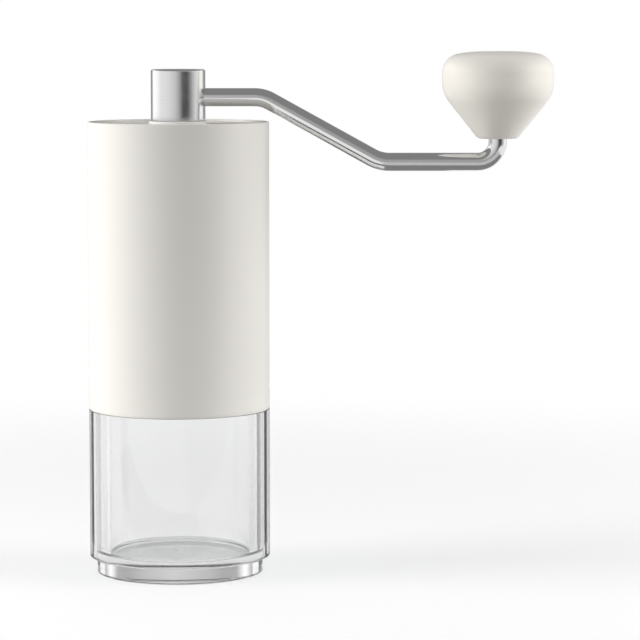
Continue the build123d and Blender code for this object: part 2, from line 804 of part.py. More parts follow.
# ---------------------------------------------------------------------------------------------
# Click plate under the burr, and the adjusting dial with its detent balls and springs
# ---------------------------------------------------------------------------------------------
detent_ball_z = dial_top_z + detent_ball_rise - detent_ball_radius
with BuildPart() as click_plate:
    with BuildSketch(Plane.XY.offset(plate_z)):
        Circle(plate_radius)
        add(flatted_outline(running_gap), mode=Mode.SUBTRACT)
    extrude(amount=plate_thickness)
    with BuildSketch(Plane.XY.offset(plate_z)):
        Circle(detent_circle_radius + detent_ball_radius)
        Circle(detent_circle_radius - detent_ball_radius, mode=Mode.SUBTRACT)
    extrude(amount=detent_ball_rise, mode=Mode.SUBTRACT)
    with BuildSketch(Plane.XY.offset(plate_z)):
        with PolarLocations(detent_circle_radius, detent_count):
            Circle(detent_dimple_radius)
    extrude(amount=detent_ball_rise + detent_drop, mode=Mode.SUBTRACT)
click_plate.part.label = "click_plate"
export_step(click_plate.part, "parts/click_plate.step")

with BuildPart() as adjustment_dial:
    with BuildSketch(Plane.XY.offset(dial_z)):
        Circle(dial_radius)
        with PolarLocations(dial_radius + dial_scallop_offset, dial_scallop_count):
            Circle(dial_scallop_radius, mode=Mode.SUBTRACT)
    extrude(amount=dial_height)
    chamfer(adjustment_dial.faces().sort_by(Axis.Z)[0].edges(), length=dial_chamfer)
    with BuildSketch(Plane.XY.offset(dial_z)):
        Circle(shaft_radius + running_gap)
    extrude(amount=dial_height, mode=Mode.SUBTRACT)
    with BuildSketch(Plane.XY.offset(dial_top_z - detent_pocket_depth)):
        with PolarLocations(detent_circle_radius, detent_ball_count):
            Circle(detent_ball_radius + running_gap)
    extrude(amount=detent_pocket_depth, mode=Mode.SUBTRACT)
adjustment_dial.part.label = "adjustment_dial"
export_step(adjustment_dial.part, "parts/adjustment_dial.step")

with BuildPart() as detent_balls:
    with Locations((0, 0, detent_ball_z)):
        with PolarLocations(detent_circle_radius, detent_ball_count):
            Sphere(detent_ball_radius)
detent_balls.part.label = "detent_balls"
export_step(detent_balls.part, "parts/detent_balls.step")

detent_coil = coil(
    detent_ball_radius - detent_spring_wire_radius - running_gap,
    dial_top_z - detent_pocket_depth,
    detent_ball_z - detent_ball_radius,
    detent_spring_turns,
    detent_spring_wire_radius,
    wire_sides,
)
with BuildPart() as detent_springs:
    with PolarLocations(detent_circle_radius, detent_ball_count):
        add(detent_coil)
detent_springs.part.label = "detent_springs"
export_step(detent_springs.part, "parts/detent_springs.step")

# ---------------------------------------------------------------------------------------------
# Lid: a disc in the rim with a plug, a boss that the crank's spigot turns in, and a seal
# ---------------------------------------------------------------------------------------------
lid_seal_z = lip_z + (lip_height - lid_seal_height) / 2
with BuildPart() as lid:
    with BuildSketch(Plane.XY.offset(lid_z)):
        Circle(lid_radius)
    extrude(amount=lid_thickness)
    fillet(lid.edges().sort_by(Axis.Z)[-1], radius=lid_edge_fillet)
    with BuildSketch(Plane.XY.offset(lid_z - lid_plug_depth)):
        Circle(plug_radius)
        Circle(plug_radius - lid_plug_wall, mode=Mode.SUBTRACT)
    extrude(amount=lid_plug_depth)
    with BuildSketch(Plane.XY.offset(lid_boss_z)):
        Circle(lid_boss_radius)
    extrude(amount=lid_boss_depth)
    with BuildSketch(Plane.XY.offset(lid_boss_z)):
        Circle(spigot_radius + running_gap)
    extrude(amount=lid_boss_depth + lid_thickness, mode=Mode.SUBTRACT)
    with BuildSketch(Plane.XY.offset(lid_seal_z)):
        Circle(barrel_radius)
        Circle(plug_radius - lid_seal_depth, mode=Mode.SUBTRACT)
    extrude(amount=lid_seal_height, mode=Mode.SUBTRACT)
lid.part.label = "lid"
export_step(lid.part, "parts/lid.step")

with BuildPart() as lid_seal:
    with BuildSketch(Plane.XZ) as section:
        with Locations((plug_radius - lid_seal_depth + press_gap, lid_seal_z + press_gap)):
            Rectangle(
                lid_seal_depth + lid_gap - press_gap - running_gap,
                lid_seal_height - 2 * press_gap,
                align=(Align.MIN, Align.MIN),
            )
        chamfer(section.vertices(), length=lid_seal_chamfer)
    revolve(axis=Axis.Z)
lid_seal.part.label = "lid_seal"
export_step(lid_seal.part, "parts/lid_seal.step")

with BuildPart() as hub_collar:
    with BuildSketch(Plane.XY.offset(lid_top_z)):
        Circle(collar_radius)
        Circle(spigot_radius + running_gap, mode=Mode.SUBTRACT)
    extrude(amount=collar_thickness)
    fillet(hub_collar.edges().group_by(Axis.Z)[-1].sort_by(SortBy.RADIUS)[-1], radius=collar_fillet)
hub_collar.part.label = "hub_collar"
export_step(hub_collar.part, "parts/hub_collar.step")

# ---------------------------------------------------------------------------------------------
# Crank: the steel hub with its socket, the bent arm set in its side, and the clip under the lid
# ---------------------------------------------------------------------------------------------
hub_clip_z = lid_boss_z - running_gap - hub_clip_thickness
with BuildPart() as crank_hub:
    with BuildSketch(Plane.XY.offset(hub_z)):
        Circle(hub_radius)
    extrude(amount=hub_height)
    fillet(crank_hub.edges().sort_by(Axis.Z)[-1], radius=hub_edge_fillet)
    with BuildSketch(Plane.XY.offset(spigot_z)):
        Circle(spigot_radius)
    extrude(amount=hub_z - spigot_z)
    with BuildSketch(Plane.XY.offset(hub_clip_z - press_gap)):
        Circle(hub_clip_outer_radius)
        Circle(spigot_radius - hub_clip_groove_depth, mode=Mode.SUBTRACT)
    extrude(amount=hub_clip_thickness + 2 * press_gap, mode=Mode.SUBTRACT)
    with BuildSketch(Plane.XY.offset(spigot_z)):
        RegularPolygon(shaft_radius + running_gap, 6)
    extrude(amount=shaft_top_z + socket_depth_over_shaft - spigot_z, mode=Mode.SUBTRACT)
    with BuildSketch(Plane.XY.offset(spigot_z)):
        Circle(shaft_radius + slip_gap)
    extrude(amount=hex_z + end_gap - spigot_z, mode=Mode.SUBTRACT)
    with BuildSketch(Plane(origin=(hub_radius - arm_insertion, 0, arm_top_z), z_dir=(1, 0, 0))):
        Circle(arm_radius + press_gap)
    extrude(amount=2 * arm_insertion, mode=Mode.SUBTRACT)
crank_hub.part.label = "crank_hub"
export_step(crank_hub.part, "parts/crank_hub.step")

knob_sleeve_z = knob_z + sleeve_recess
knob_clip_z = knob_sleeve_z + sleeve_length + running_gap
spindle_top_z = knob_clip_z + clip_thickness + spindle_tail
with BuildPart() as crank_arm:
    with BuildLine() as arm_path:
        FilletPolyline(
            (hub_radius - arm_insertion, 0, arm_top_z),
            (first_bend_x, 0, arm_top_z),
            (second_bend_x, 0, arm_low_z),
            (crank_radius, 0, arm_low_z),
            (crank_radius, 0, spindle_top_z),
            radius=[first_bend_radius, second_bend_radius, third_bend_radius],
        )
    with BuildSketch(Plane(origin=arm_path.line @ 0, z_dir=arm_path.line % 0)):
        Circle(arm_radius)
    sweep()
    chamfer(crank_arm.edges().sort_by(Axis.Z)[-1], length=shaft_chamfer)
    with BuildSketch(Plane((crank_radius, 0, knob_clip_z - press_gap))):
        Circle(clip_outer_radius)
        Circle(arm_radius - clip_groove_depth, mode=Mode.SUBTRACT)
    extrude(amount=clip_thickness + 2 * press_gap, mode=Mode.SUBTRACT)
crank_arm.part.label = "crank_arm"
export_step(crank_arm.part, "parts/crank_arm.step")

with BuildPart() as hub_clip:
    with BuildSketch(Plane.XY.offset(hub_clip_z)):
        add(
            clip_outline(
                spigot_radius - hub_clip_groove_depth + press_gap,
                hub_clip_outer_radius,
                hub_clip_opening,
            )
        )
    extrude(amount=hub_clip_thickness)
hub_clip.part.label = "hub_clip"
export_step(hub_clip.part, "parts/hub_clip.step")

# ---------------------------------------------------------------------------------------------
# Knob: a turned shell with a plain bearing sleeve and the clip that keeps it on the arm's end
# ---------------------------------------------------------------------------------------------
with BuildPart() as knob_shell:
    with BuildSketch(Plane((crank_radius, 0, knob_z), x_dir=(1, 0, 0), z_dir=(0, -1, 0))) as section:
        with BuildLine():
            side_top = knob_height - knob_dome
            dome_radius = (knob_radius**2 + knob_dome**2) / (2 * knob_dome)
            Polyline(
                (0, knob_height),
                (0, 0),
                (knob_base_radius, 0),
                (knob_radius, knob_cone_height),
                (knob_radius, side_top),
            )
            RadiusArc((knob_radius, side_top), (0, knob_height), -dome_radius)
        make_face()
        fillet(section.vertices().group_by(Axis.X)[1], radius=knob_base_fillet)
        fillet(section.vertices().group_by(Axis.X)[-1].sort_by(Axis.Y)[0], radius=knob_cone_fillet)
        fillet(section.vertices().group_by(Axis.X)[-1].sort_by(Axis.Y)[-1], radius=knob_top_fillet)
    revolve(axis=Axis((crank_radius, 0, 0), (0, 0, 1)))
    with BuildSketch(Plane((crank_radius, 0, knob_z))):
        Circle(knob_bore_radius)
    extrude(amount=spindle_top_z + knob_bore_end_gap - knob_z, mode=Mode.SUBTRACT)
knob_shell.part.label = "knob_shell"
export_step(knob_shell.part, "parts/knob_shell.step")

with BuildPart() as knob_sleeve:
    with BuildSketch(Plane((crank_radius, 0, knob_sleeve_z))):
        Circle(knob_bore_radius - press_gap)
        Circle(arm_radius + running_gap, mode=Mode.SUBTRACT)
    extrude(amount=sleeve_length)
knob_sleeve.part.label = "knob_sleeve"
export_step(knob_sleeve.part, "parts/knob_sleeve.step")

with BuildPart() as knob_clip:
    with BuildSketch(Plane((crank_radius, 0, knob_clip_z))):
        add(clip_outline(arm_radius - clip_groove_depth + press_gap, clip_outer_radius, clip_opening))
    extrude(amount=clip_thickness)
knob_clip.part.label = "knob_clip"
export_step(knob_clip.part, "parts/knob_clip.step")
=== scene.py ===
import bpy
import numpy as np
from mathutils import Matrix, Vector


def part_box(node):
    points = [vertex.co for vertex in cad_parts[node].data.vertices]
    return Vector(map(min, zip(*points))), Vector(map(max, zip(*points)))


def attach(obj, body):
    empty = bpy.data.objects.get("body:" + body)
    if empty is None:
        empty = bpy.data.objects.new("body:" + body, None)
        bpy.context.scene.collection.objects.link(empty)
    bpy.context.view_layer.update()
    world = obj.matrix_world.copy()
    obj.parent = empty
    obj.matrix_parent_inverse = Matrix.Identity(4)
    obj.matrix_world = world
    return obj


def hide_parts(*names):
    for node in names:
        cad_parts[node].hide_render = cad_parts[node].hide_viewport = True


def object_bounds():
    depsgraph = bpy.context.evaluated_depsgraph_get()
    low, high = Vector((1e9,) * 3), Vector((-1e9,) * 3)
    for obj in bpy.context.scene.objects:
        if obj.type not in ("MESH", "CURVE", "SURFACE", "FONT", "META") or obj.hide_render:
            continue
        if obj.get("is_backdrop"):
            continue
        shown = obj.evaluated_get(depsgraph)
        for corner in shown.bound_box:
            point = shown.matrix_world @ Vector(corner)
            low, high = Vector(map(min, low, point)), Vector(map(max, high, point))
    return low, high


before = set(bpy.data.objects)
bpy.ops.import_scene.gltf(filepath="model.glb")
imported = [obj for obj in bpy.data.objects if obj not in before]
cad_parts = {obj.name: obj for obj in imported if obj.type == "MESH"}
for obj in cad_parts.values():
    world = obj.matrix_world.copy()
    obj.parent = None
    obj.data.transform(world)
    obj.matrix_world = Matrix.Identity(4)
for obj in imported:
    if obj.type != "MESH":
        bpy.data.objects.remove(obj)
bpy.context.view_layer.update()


# ---------------------------------------------------------------------------------------------
# Barrel shell. The real one is a stiff moulded tube, turned true at both ends and coated in a
# satin off-white. Its rim is thin, with a lip below it that carries the lid, and a groove inside
# its lower end holds the snap ring.
# ---------------------------------------------------------------------------------------------
def extent(node):
    """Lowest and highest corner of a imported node, in millimetres, to a hundredth."""
    return np.round(np.array(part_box(node)) * 1000, 2)


def rounded(corners, steps=6, closed=False):
    """Outline through corners given as (radius, level, fillet), each of them rounded.

    With a and b the normals of the two runs that meet in a corner, w the angle between them and
    s = 1 where the outline turns left and -1 where it turns right, the arc's centre is
    corner - s fillet (a + b) / (1 + a.b), and its points are centre + s fillet N, where N turns
    evenly from a to b. N is also the surface's normal there. An open outline keeps its two ends.
    """
    if closed:
        corners = [corners[-1], *corners, corners[0]]
    at, fillet = np.array(corners)[:, :2], np.array(corners)[1:-1, 2]
    run = np.diff(at, axis=0)
    run /= np.linalg.norm(run, axis=1, keepdims=True)
    normal = np.stack([run[:, 1], -run[:, 0]], axis=1)
    a, b = normal[:-1], normal[1:]
    dot = (a * b).sum(axis=1)
    side = np.sign(run[:-1, 0] * run[1:, 1] - run[:-1, 1] * run[1:, 0])
    centre = at[1:-1] - (side * fillet / (1 + dot))[:, None] * (a + b)
    w = np.arccos(dot)[:, None, None]
    t = np.linspace(0, 1, steps)[None, :, None]
    turn = (np.sin((1 - t) * w) * a[:, None] + np.sin(t * w) * b[:, None]) / np.sin(w)
    points = (centre[:, None] + (side * fillet)[:, None, None] * turn).reshape(-1, 2)
    normals = turn.reshape(-1, 2)
    if not closed:
        points = np.concatenate([at[:1], points, at[-1:]])
        normals = np.concatenate([normal[:1], normals, normal[-1:]])
    return points, normals


def grid_piece(name, at, normal, closed=False):
    """Object over a grid of points, where each row of the grid is a ring round the piece.

    A closed grid joins its last row to its first. In an open one the first row and the last are
    each one point, with a fan of triangles round it, so no hole is left. The UV map holds the
    share of a turn and the distance in metres along the rows.
    """
    rows, around = at.shape[:2]
    points, normals = at.reshape(-1, 3), normal.reshape(-1, 3)
    number = np.arange(rows * around).reshape(rows, around)
    if not closed:
        number = np.clip(number - around + 1, 0, (rows - 2) * around + 1)
        points, normals = [
            np.concatenate([part[:1], part[around:-around], part[-1:]])
            for part in (points, normals)
        ]
    low, high = (number, np.roll(number, -1, 0)) if closed else (number[:-1], number[1:])
    quads = np.stack([low, np.roll(low, -1, 1), np.roll(high, -1, 1), high], axis=2)
    step = np.linalg.norm(np.roll(at[:, 0], -1, 0) - at[:, 0], axis=1)
    along = np.concatenate([[0], np.cumsum(step)])
    uv = np.empty(quads.shape + (2,))
    uv[..., 0] = (np.arange(around)[:, None] + [0, 1, 1, 0]) / around
    uv[..., 1] = along[np.arange(len(low))[:, None] + [0, 0, 1, 1]][:, None]
    bands = [(slice(None), [0, 1, 2, 3])]
    if not closed:
        first, last = (slice(0, 1), [0, 2, 3]), (slice(-1, None), [0, 1, 2])
        bands = [(slice(1, -1), [0, 1, 2, 3]), first, last]
    faces = []
    for band, corner in bands:
        faces += quads[band][..., corner].reshape(-1, len(corner)).tolist()
    uv = np.concatenate([uv[band][..., corner, :].reshape(-1, 2) for band, corner in bands])
    mesh = bpy.data.meshes.new(name)
    mesh.from_pydata(points.tolist(), [], faces)
    mesh.uv_layers.new(name="UVMap").data.foreach_set("uv", uv.astype(np.float32).ravel())
    mesh.shade_smooth()
    mesh.normals_split_custom_set_from_vertices(normals.tolist())
    piece = bpy.data.objects.new(name, mesh)
    bpy.context.scene.collection.objects.link(piece)
    return piece


def turned(name, outline, around=192, axis_x=0.0, closed=False):
    """Surface of revolution P(u, v) = (axis_x + r(v) cos u, r(v) sin u, z(v)), in metres.

    u goes once round the axis and v runs along the outline, which is in millimetres.
    """
    u = np.linspace(0, 2 * np.pi, around, endpoint=False)
    ring = np.stack([np.cos(u), np.sin(u), 0 * u], axis=1)
    up = np.array([0.0, 0.0, 1.0])
    at, normal = [part[:, :1, None] * ring + part[:, 1:, None] * up for part in outline]
    return grid_piece(name, at / 1000 + [axis_x, 0, 0], normal, closed)


def put(tree, kind, takes, **settings):
    """Adds a shader node; takes gives each of its inputs a value or the socket that feeds it."""
    node = tree.nodes.new("ShaderNode" + kind)
    for name, value in settings.items():
        setattr(node, name, value)
    for name, value in takes.items():
        if isinstance(value, bpy.types.NodeSocket):
            tree.links.new(value, node.inputs[name])
        else:
            node.inputs[name].default_value = value
    return node


def maths(tree, operation, *values):
    """Result of one Math node on its values, each a number or a socket."""
    return put(tree, "Math", dict(enumerate(values)), operation=operation).outputs[0]


def noise(tree, vector, scale, detail=2.0, rough=0.5):
    """Value of a Noise Texture, whose scale is in waves per metre."""
    takes = {"Vector": vector, "Scale": scale, "Detail": detail, "Roughness": rough}
    return put(tree, "TexNoise", takes).outputs[0]


def new_group(name, takes, gives):
    """Node group whose inputs take their kinds from their first values, with both its ends."""
    group = bpy.data.node_groups.new(name, "ShaderNodeTree")
    for socket, value in takes.items():
        kind = "Float" if isinstance(value, float) else {3: "Vector", 4: "Color"}[len(value)]
        made = group.interface.new_socket(socket, in_out="INPUT", socket_type="NodeSocket" + kind)
        made.default_value = value
    for socket, kind in gives.items():
        group.interface.new_socket(socket, in_out="OUTPUT", socket_type="NodeSocket" + kind)
    begin, end = group.nodes.new("NodeGroupInput"), group.nodes.new("NodeGroupOutput")
    return group, begin.outputs, end.inputs


def new_material(name, **plain):
    """Material with a Principled shader; plain gives its sockets that are the same all over."""
    material = bpy.data.materials.new(name)
    material.use_nodes = True
    tree = material.node_tree
    shader = tree.nodes["Principled BSDF"]
    for socket, value in plain.items():
        shader.inputs[socket.replace("_", " ")].default_value = value
    return material, tree, shader, put(tree, "TexCoord", {}).outputs["Object"]


def placed(tree, group, vector, **takes):
    """Outputs of a shared effect, placed in a material's tree with its own values."""
    return put(tree, "Group", {"Vector": vector, **takes}, node_tree=group).outputs


def finish(tree, shader, height, depth, **takes):
    """Feeds the shader's sockets, and its Normal from a bump of that height, depth metres deep."""
    for socket, value in takes.items():
        tree.links.new(value, shader.inputs[socket.replace("_", " ")])
    bump = put(tree, "Bump", {"Height": height, "Distance": depth, "Strength": 1.0})
    tree.links.new(bump.outputs["Normal"], shader.inputs["Normal"])


def dress(material, *pieces):
    """Gives the material to new pieces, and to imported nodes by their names."""
    for piece in pieces:
        if isinstance(piece, str):
            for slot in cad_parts[piece].material_slots:
                slot.material = material
        else:
            piece.data.materials.append(material)


# Moulded or sprayed skin: tone = 1 + Tone (2 broad - 1) on the colour, where broad is a slow
# noise; roughness + Spread (fine - 1/2), where fine has Grain waves per metre and is the height.
moulded_skin, takes, gives = new_group(
    "moulded skin",
    {"Vector": (0.0, 0.0, 0.0), "Colour": (0.8, 0.8, 0.8, 1.0), "Tone": 0.015, "Roughness": 0.4,
     "Spread": 0.1, "Grain": 900.0},
    {"Colour": "Color", "Roughness": "Float", "Height": "Float"},
)
broad = noise(moulded_skin, takes["Vector"], 38.0)
fine = noise(moulded_skin, takes["Vector"], takes["Grain"], 3.0, 0.55)
tone = maths(moulded_skin, "MULTIPLY_ADD", broad, 2.0, -1.0)
tone = maths(moulded_skin, "MULTIPLY_ADD", tone, takes["Tone"], 1.0)
tinted = put(moulded_skin, "HueSaturation", {"Color": takes["Colour"], "Value": tone})
uneven = maths(moulded_skin, "SUBTRACT", fine, 0.5)
uneven = maths(moulded_skin, "MULTIPLY_ADD", uneven, takes["Spread"], takes["Roughness"])
moulded_skin.links.new(tinted.outputs["Color"], gives["Colour"])
moulded_skin.links.new(uneven, gives["Roughness"])
moulded_skin.links.new(fine, gives["Height"])

# Worn edge: mask = (1 - |Coordinate - Level| / Reach), no less than 0, times a patchy noise.
worn_edge, takes, gives = new_group(
    "worn edge",
    {"Vector": (0.0, 0.0, 0.0), "Coordinate": 0.0, "Level": 0.0, "Reach": 0.001},
    {"Mask": "Float"},
)
away = maths(worn_edge, "SUBTRACT", takes["Coordinate"], takes["Level"])
away = maths(worn_edge, "ABSOLUTE", away)
near = maths(worn_edge, "SUBTRACT", 1.0, maths(worn_edge, "DIVIDE", away, takes["Reach"]))
patchy = noise(worn_edge, takes["Vector"], 260.0, 3.0, 0.6)
mask = maths(worn_edge, "MULTIPLY", maths(worn_edge, "MAXIMUM", near, 0.0), patchy)
worn_edge.links.new(mask, gives["Mask"])

(_, _, seam), (body_radius, _, rim_top) = extent("barrel_shell")
(_, _, ring_low), (_, _, ring_top) = extent("snap_ring")
lip_low = extent("upper_bracket")[1, 2]
lip_top, lip_bore, rim_bore = 147.2, 26.2, 28.9
bore, lead_in = 28.0, 0.3
groove_radius, play = 28.65, 0.01
barrel_outline = rounded([
    (bore + lead_in, seam, 0.2), (body_radius, seam, 0.35), (body_radius, rim_top, 0.45),
    (rim_bore, rim_top, 0.3), (rim_bore, lip_top, 0.1), (lip_bore, lip_top, 0.2),
    (lip_bore, lip_low, 0.2), (bore, lip_low, 0.1), (bore, ring_top + play, 0.05),
    (groove_radius, ring_top + play, 0.05), (groove_radius, ring_low - play, 0.05),
    (bore, ring_low - play, 0.05), (bore, seam + lead_in, 0.15),
], steps=7, closed=True)
barrel_tube = turned("barrel_tube", barrel_outline, around=224, closed=True)
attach(barrel_tube, "barrel")
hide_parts("barrel_shell")

white_coat, tree, shader, place = new_material("white_coat", IOR=1.46)
skin = placed(
    tree, moulded_skin, place, Colour=(0.858, 0.834, 0.786, 1), Tone=0.012, Roughness=0.42,
    Spread=0.16, Grain=750.0,
)
level = put(tree, "SeparateXYZ", {"Vector": place}).outputs["Z"]
rubbed = placed(tree, worn_edge, place, Coordinate=level, Level=seam / 1000, Reach=0.0012)["Mask"]
soiled = put(tree, "HueSaturation", {
    "Color": skin["Colour"], "Value": maths(tree, "MULTIPLY_ADD", rubbed, -0.16, 1.0),
})
polished = maths(tree, "MULTIPLY_ADD", rubbed, -0.2, skin["Roughness"])
finish(tree, shader, skin["Height"], 5e-6, Base_Color=soiled.outputs["Color"], Roughness=polished)
dress(white_coat, barrel_tube)

# ---------------------------------------------------------------------------------------------
# Snap ring. The real one is a ring of flat spring-steel wire with two ears; it is squeezed,
# let go in the groove at the barrel's lower end, and holds the whole mechanism in.
# ---------------------------------------------------------------------------------------------
def blended(tree, mask, under, over):
    """Colour that goes from under to over as the mask goes from 0 to 1."""
    factor, first, second, colour = 0, 6, 7, 2
    takes = {factor: mask, first: under, second: over}
    return put(tree, "Mix", takes, data_type="RGBA").outputs[colour]


# Drawn lines: the vector comes in scaled so that the lines lie along the piece; the height is a
# noise of it, and roughness + Spread (height - 1/2). The mask is 1 in the few deep lines.
drawn_lines, takes, gives = new_group(
    "drawn lines", {"Vector": (0.0, 0.0, 0.0), "Roughness": 0.25, "Spread": 0.15},
    {"Height": "Float", "Roughness": "Float", "Mask": "Float"},
)
lines = noise(drawn_lines, takes["Vector"], 1.0, 4.0, 0.65)
uneven = maths(drawn_lines, "SUBTRACT", lines, 0.5)
uneven = maths(drawn_lines, "MULTIPLY_ADD", uneven, takes["Spread"], takes["Roughness"])
deep = put(drawn_lines, "MapRange", {"Value": lines, "From Min": 0.62, "From Max": 0.78})
drawn_lines.links.new(lines, gives["Height"])
drawn_lines.links.new(uneven, gives["Roughness"])
drawn_lines.links.new(deep.outputs["Result"], gives["Mask"])

spring_wire, tree, shader, place = new_material("spring_wire", Metallic=1.0)
stretched = put(tree, "Mapping", {"Vector": place, "Scale": (500, 500, 2600)})
wire = placed(tree, drawn_lines, stretched.outputs["Vector"], Roughness=0.3, Spread=0.3)
blued = blended(tree, wire["Mask"], (0.50, 0.50, 0.515, 1), (0.34, 0.33, 0.33, 1))
finish(tree, shader, wire["Height"], 3e-6, Base_Color=blued, Roughness=wire["Roughness"])
dress(spring_wire, "snap_ring")

# ---------------------------------------------------------------------------------------------
# Burr housing, brackets: die-cast aluminium, blasted and then bored where the bearings, the burr
# and the screws go. The housing takes the outer burr; the two spoked brackets centre the shaft.
# ---------------------------------------------------------------------------------------------
# Blasted skin: the height is small craters from two Voronoi distances, Pits and 2.3 Pits cells
# per metre. The colour and the roughness follow a slow noise.
blasted_skin, takes, gives = new_group(
    "blasted skin",
    {"Vector": (0.0, 0.0, 0.0), "Colour": (0.6, 0.6, 0.6, 1.0), "Pits": 2400.0, "Roughness": 0.45,
     "Spread": 0.2},
    {"Colour": "Color", "Roughness": "Float", "Height": "Float"},
)
coarse = put(blasted_skin, "TexVoronoi", {"Vector": takes["Vector"], "Scale": takes["Pits"]})
small = put(blasted_skin, "TexVoronoi", {
    "Vector": takes["Vector"], "Scale": maths(blasted_skin, "MULTIPLY", takes["Pits"], 2.3),
})
craters = maths(
    blasted_skin, "MULTIPLY_ADD", small.outputs["Distance"], 0.5, coarse.outputs["Distance"]
)
cloudy = noise(blasted_skin, takes["Vector"], 120.0, 3.0)
tone = maths(blasted_skin, "MULTIPLY_ADD", cloudy, 0.22, 0.89)
toned = put(blasted_skin, "HueSaturation", {"Color": takes["Colour"], "Value": tone})
uneven = maths(blasted_skin, "SUBTRACT", cloudy, 0.5)
uneven = maths(blasted_skin, "MULTIPLY_ADD", uneven, takes["Spread"], takes["Roughness"])
blasted_skin.links.new(toned.outputs["Color"], gives["Colour"])
blasted_skin.links.new(uneven, gives["Roughness"])
blasted_skin.links.new(craters, gives["Height"])

cast_aluminium, tree, shader, place = new_material("cast_aluminium", Metallic=1.0)
skin = placed(
    tree, blasted_skin, place, Colour=(0.64, 0.645, 0.655, 1), Pits=2200.0, Roughness=0.46,
    Spread=0.25,
)
finish(tree, shader, skin["Height"], 1.6e-5, Base_Color=skin["Colour"], Roughness=skin["Roughness"])
dress(cast_aluminium, "burr_housing", "lower_bracket", "upper_bracket")

# ---------------------------------------------------------------------------------------------
# Outer burr and its screws. The real burr is machined from stainless steel, hardened, and its
# teeth are ground; it drops in the housing and three countersunk screws hold it there.
# ---------------------------------------------------------------------------------------------
# Lathe lines: noise of (radius, level) times Pitch, which a slow term of the angle breaks up;
# roughness + Spread (lines - 1/2). The mask is 1 in the few deep lines.
lathe_lines, takes, gives = new_group(
    "lathe lines",
    {"Vector": (0.0, 0.0, 0.0), "Pitch": 4000.0, "Roughness": 0.3, "Spread": 0.15},
    {"Height": "Float", "Roughness": "Float", "Mask": "Float"},
)
xyz = put(lathe_lines, "SeparateXYZ", {"Vector": takes["Vector"]}).outputs
square = maths(lathe_lines, "MULTIPLY", xyz["Y"], xyz["Y"])
square = maths(lathe_lines, "MULTIPLY_ADD", xyz["X"], xyz["X"], square)
radius = maths(lathe_lines, "SQRT", square)
angle = maths(lathe_lines, "ARCTAN2", xyz["Y"], xyz["X"])
swept = put(lathe_lines, "CombineXYZ", {
    "X": maths(lathe_lines, "MULTIPLY", radius, takes["Pitch"]),
    "Y": maths(lathe_lines, "MULTIPLY", xyz["Z"], takes["Pitch"]),
    "Z": maths(lathe_lines, "MULTIPLY", maths(lathe_lines, "ABSOLUTE", angle), 0.7),
}).outputs["Vector"]
lines = noise(lathe_lines, swept, 1.0, 3.0, 0.6)
uneven = maths(lathe_lines, "SUBTRACT", lines, 0.5)
uneven = maths(lathe_lines, "MULTIPLY_ADD", uneven, takes["Spread"], takes["Roughness"])
deep = put(lathe_lines, "MapRange", {"Value": lines, "From Min": 0.6, "From Max": 0.8})
lathe_lines.links.new(lines, gives["Height"])
lathe_lines.links.new(uneven, gives["Roughness"])
lathe_lines.links.new(deep.outputs["Result"], gives["Mask"])

ground_steel, tree, shader, place = new_material("ground_steel", Metallic=1.0)
skin = placed(
    tree, blasted_skin, place, Colour=(0.50, 0.495, 0.49, 1), Pits=5200.0, Roughness=0.32,
    Spread=0.3,
)
wheel = placed(tree, lathe_lines, place, Pitch=5200.0, Roughness=0.0, Spread=0.2)
scored = put(tree, "HueSaturation", {
    "Color": skin["Colour"], "Value": maths(tree, "MULTIPLY_ADD", wheel["Mask"], -0.25, 1.0),
}).outputs["Color"]
finish(
    tree, shader, maths(tree, "MULTIPLY_ADD", skin["Height"], 0.3, wheel["Height"]), 5e-6,
    Base_Color=scored, Roughness=maths(tree, "ADD", skin["Roughness"], wheel["Roughness"]),
)
dress(ground_steel, "outer_burr")

screw_steel, tree, shader, place = new_material("screw_steel", Metallic=1.0)
skin = placed(
    tree, blasted_skin, place, Colour=(0.40, 0.40, 0.41, 1), Pits=7000.0, Roughness=0.34,
    Spread=0.25,
)
finish(tree, shader, skin["Height"], 3e-6, Base_Color=skin["Colour"], Roughness=skin["Roughness"])
dress(screw_steel, "housing_screws")

# ---------------------------------------------------------------------------------------------
# Hopper sleeve. The real one is a thin tube of white polypropylene, spark-eroded and matt, that
# lines the barrel between the two brackets so that the beans touch no metal.
# ---------------------------------------------------------------------------------------------
white_liner, tree, shader, place = new_material("white_liner", IOR=1.49)
skin = placed(
    tree, moulded_skin, place, Colour=(0.83, 0.815, 0.78, 1), Tone=0.03, Roughness=0.58,
    Spread=0.2, Grain=2400.0,
)
finish(tree, shader, skin["Height"], 1.2e-5, Base_Color=skin["Colour"], Roughness=skin["Roughness"])
dress(white_liner, "hopper_sleeve")

# ---------------------------------------------------------------------------------------------
# Bearings. Two small ball bearings in the brackets carry the shaft: ground and polished rings
# and balls of chrome steel, between two black rubber seals each.
# ---------------------------------------------------------------------------------------------
# Handled film: smears that dull a polished face. The mask is a wavy noise past its middle, and
# roughness + Smear times the mask.
handled_film, takes, gives = new_group(
    "handled film", {"Vector": (0.0, 0.0, 0.0), "Roughness": 0.1, "Smear": 0.05, "Scale": 90.0},
    {"Roughness": "Float", "Mask": "Float"},
)
wavy = put(handled_film, "TexNoise", {
    "Vector": takes["Vector"], "Scale": takes["Scale"], "Detail": 4.0, "Distortion": 0.8,
}).outputs[0]
smears = put(handled_film, "MapRange", {"Value": wavy, "From Min": 0.45, "From Max": 0.75})
mask = smears.outputs["Result"]
dulled = maths(handled_film, "MULTIPLY_ADD", mask, takes["Smear"], takes["Roughness"])
handled_film.links.new(mask, gives["Mask"])
handled_film.links.new(dulled, gives["Roughness"])

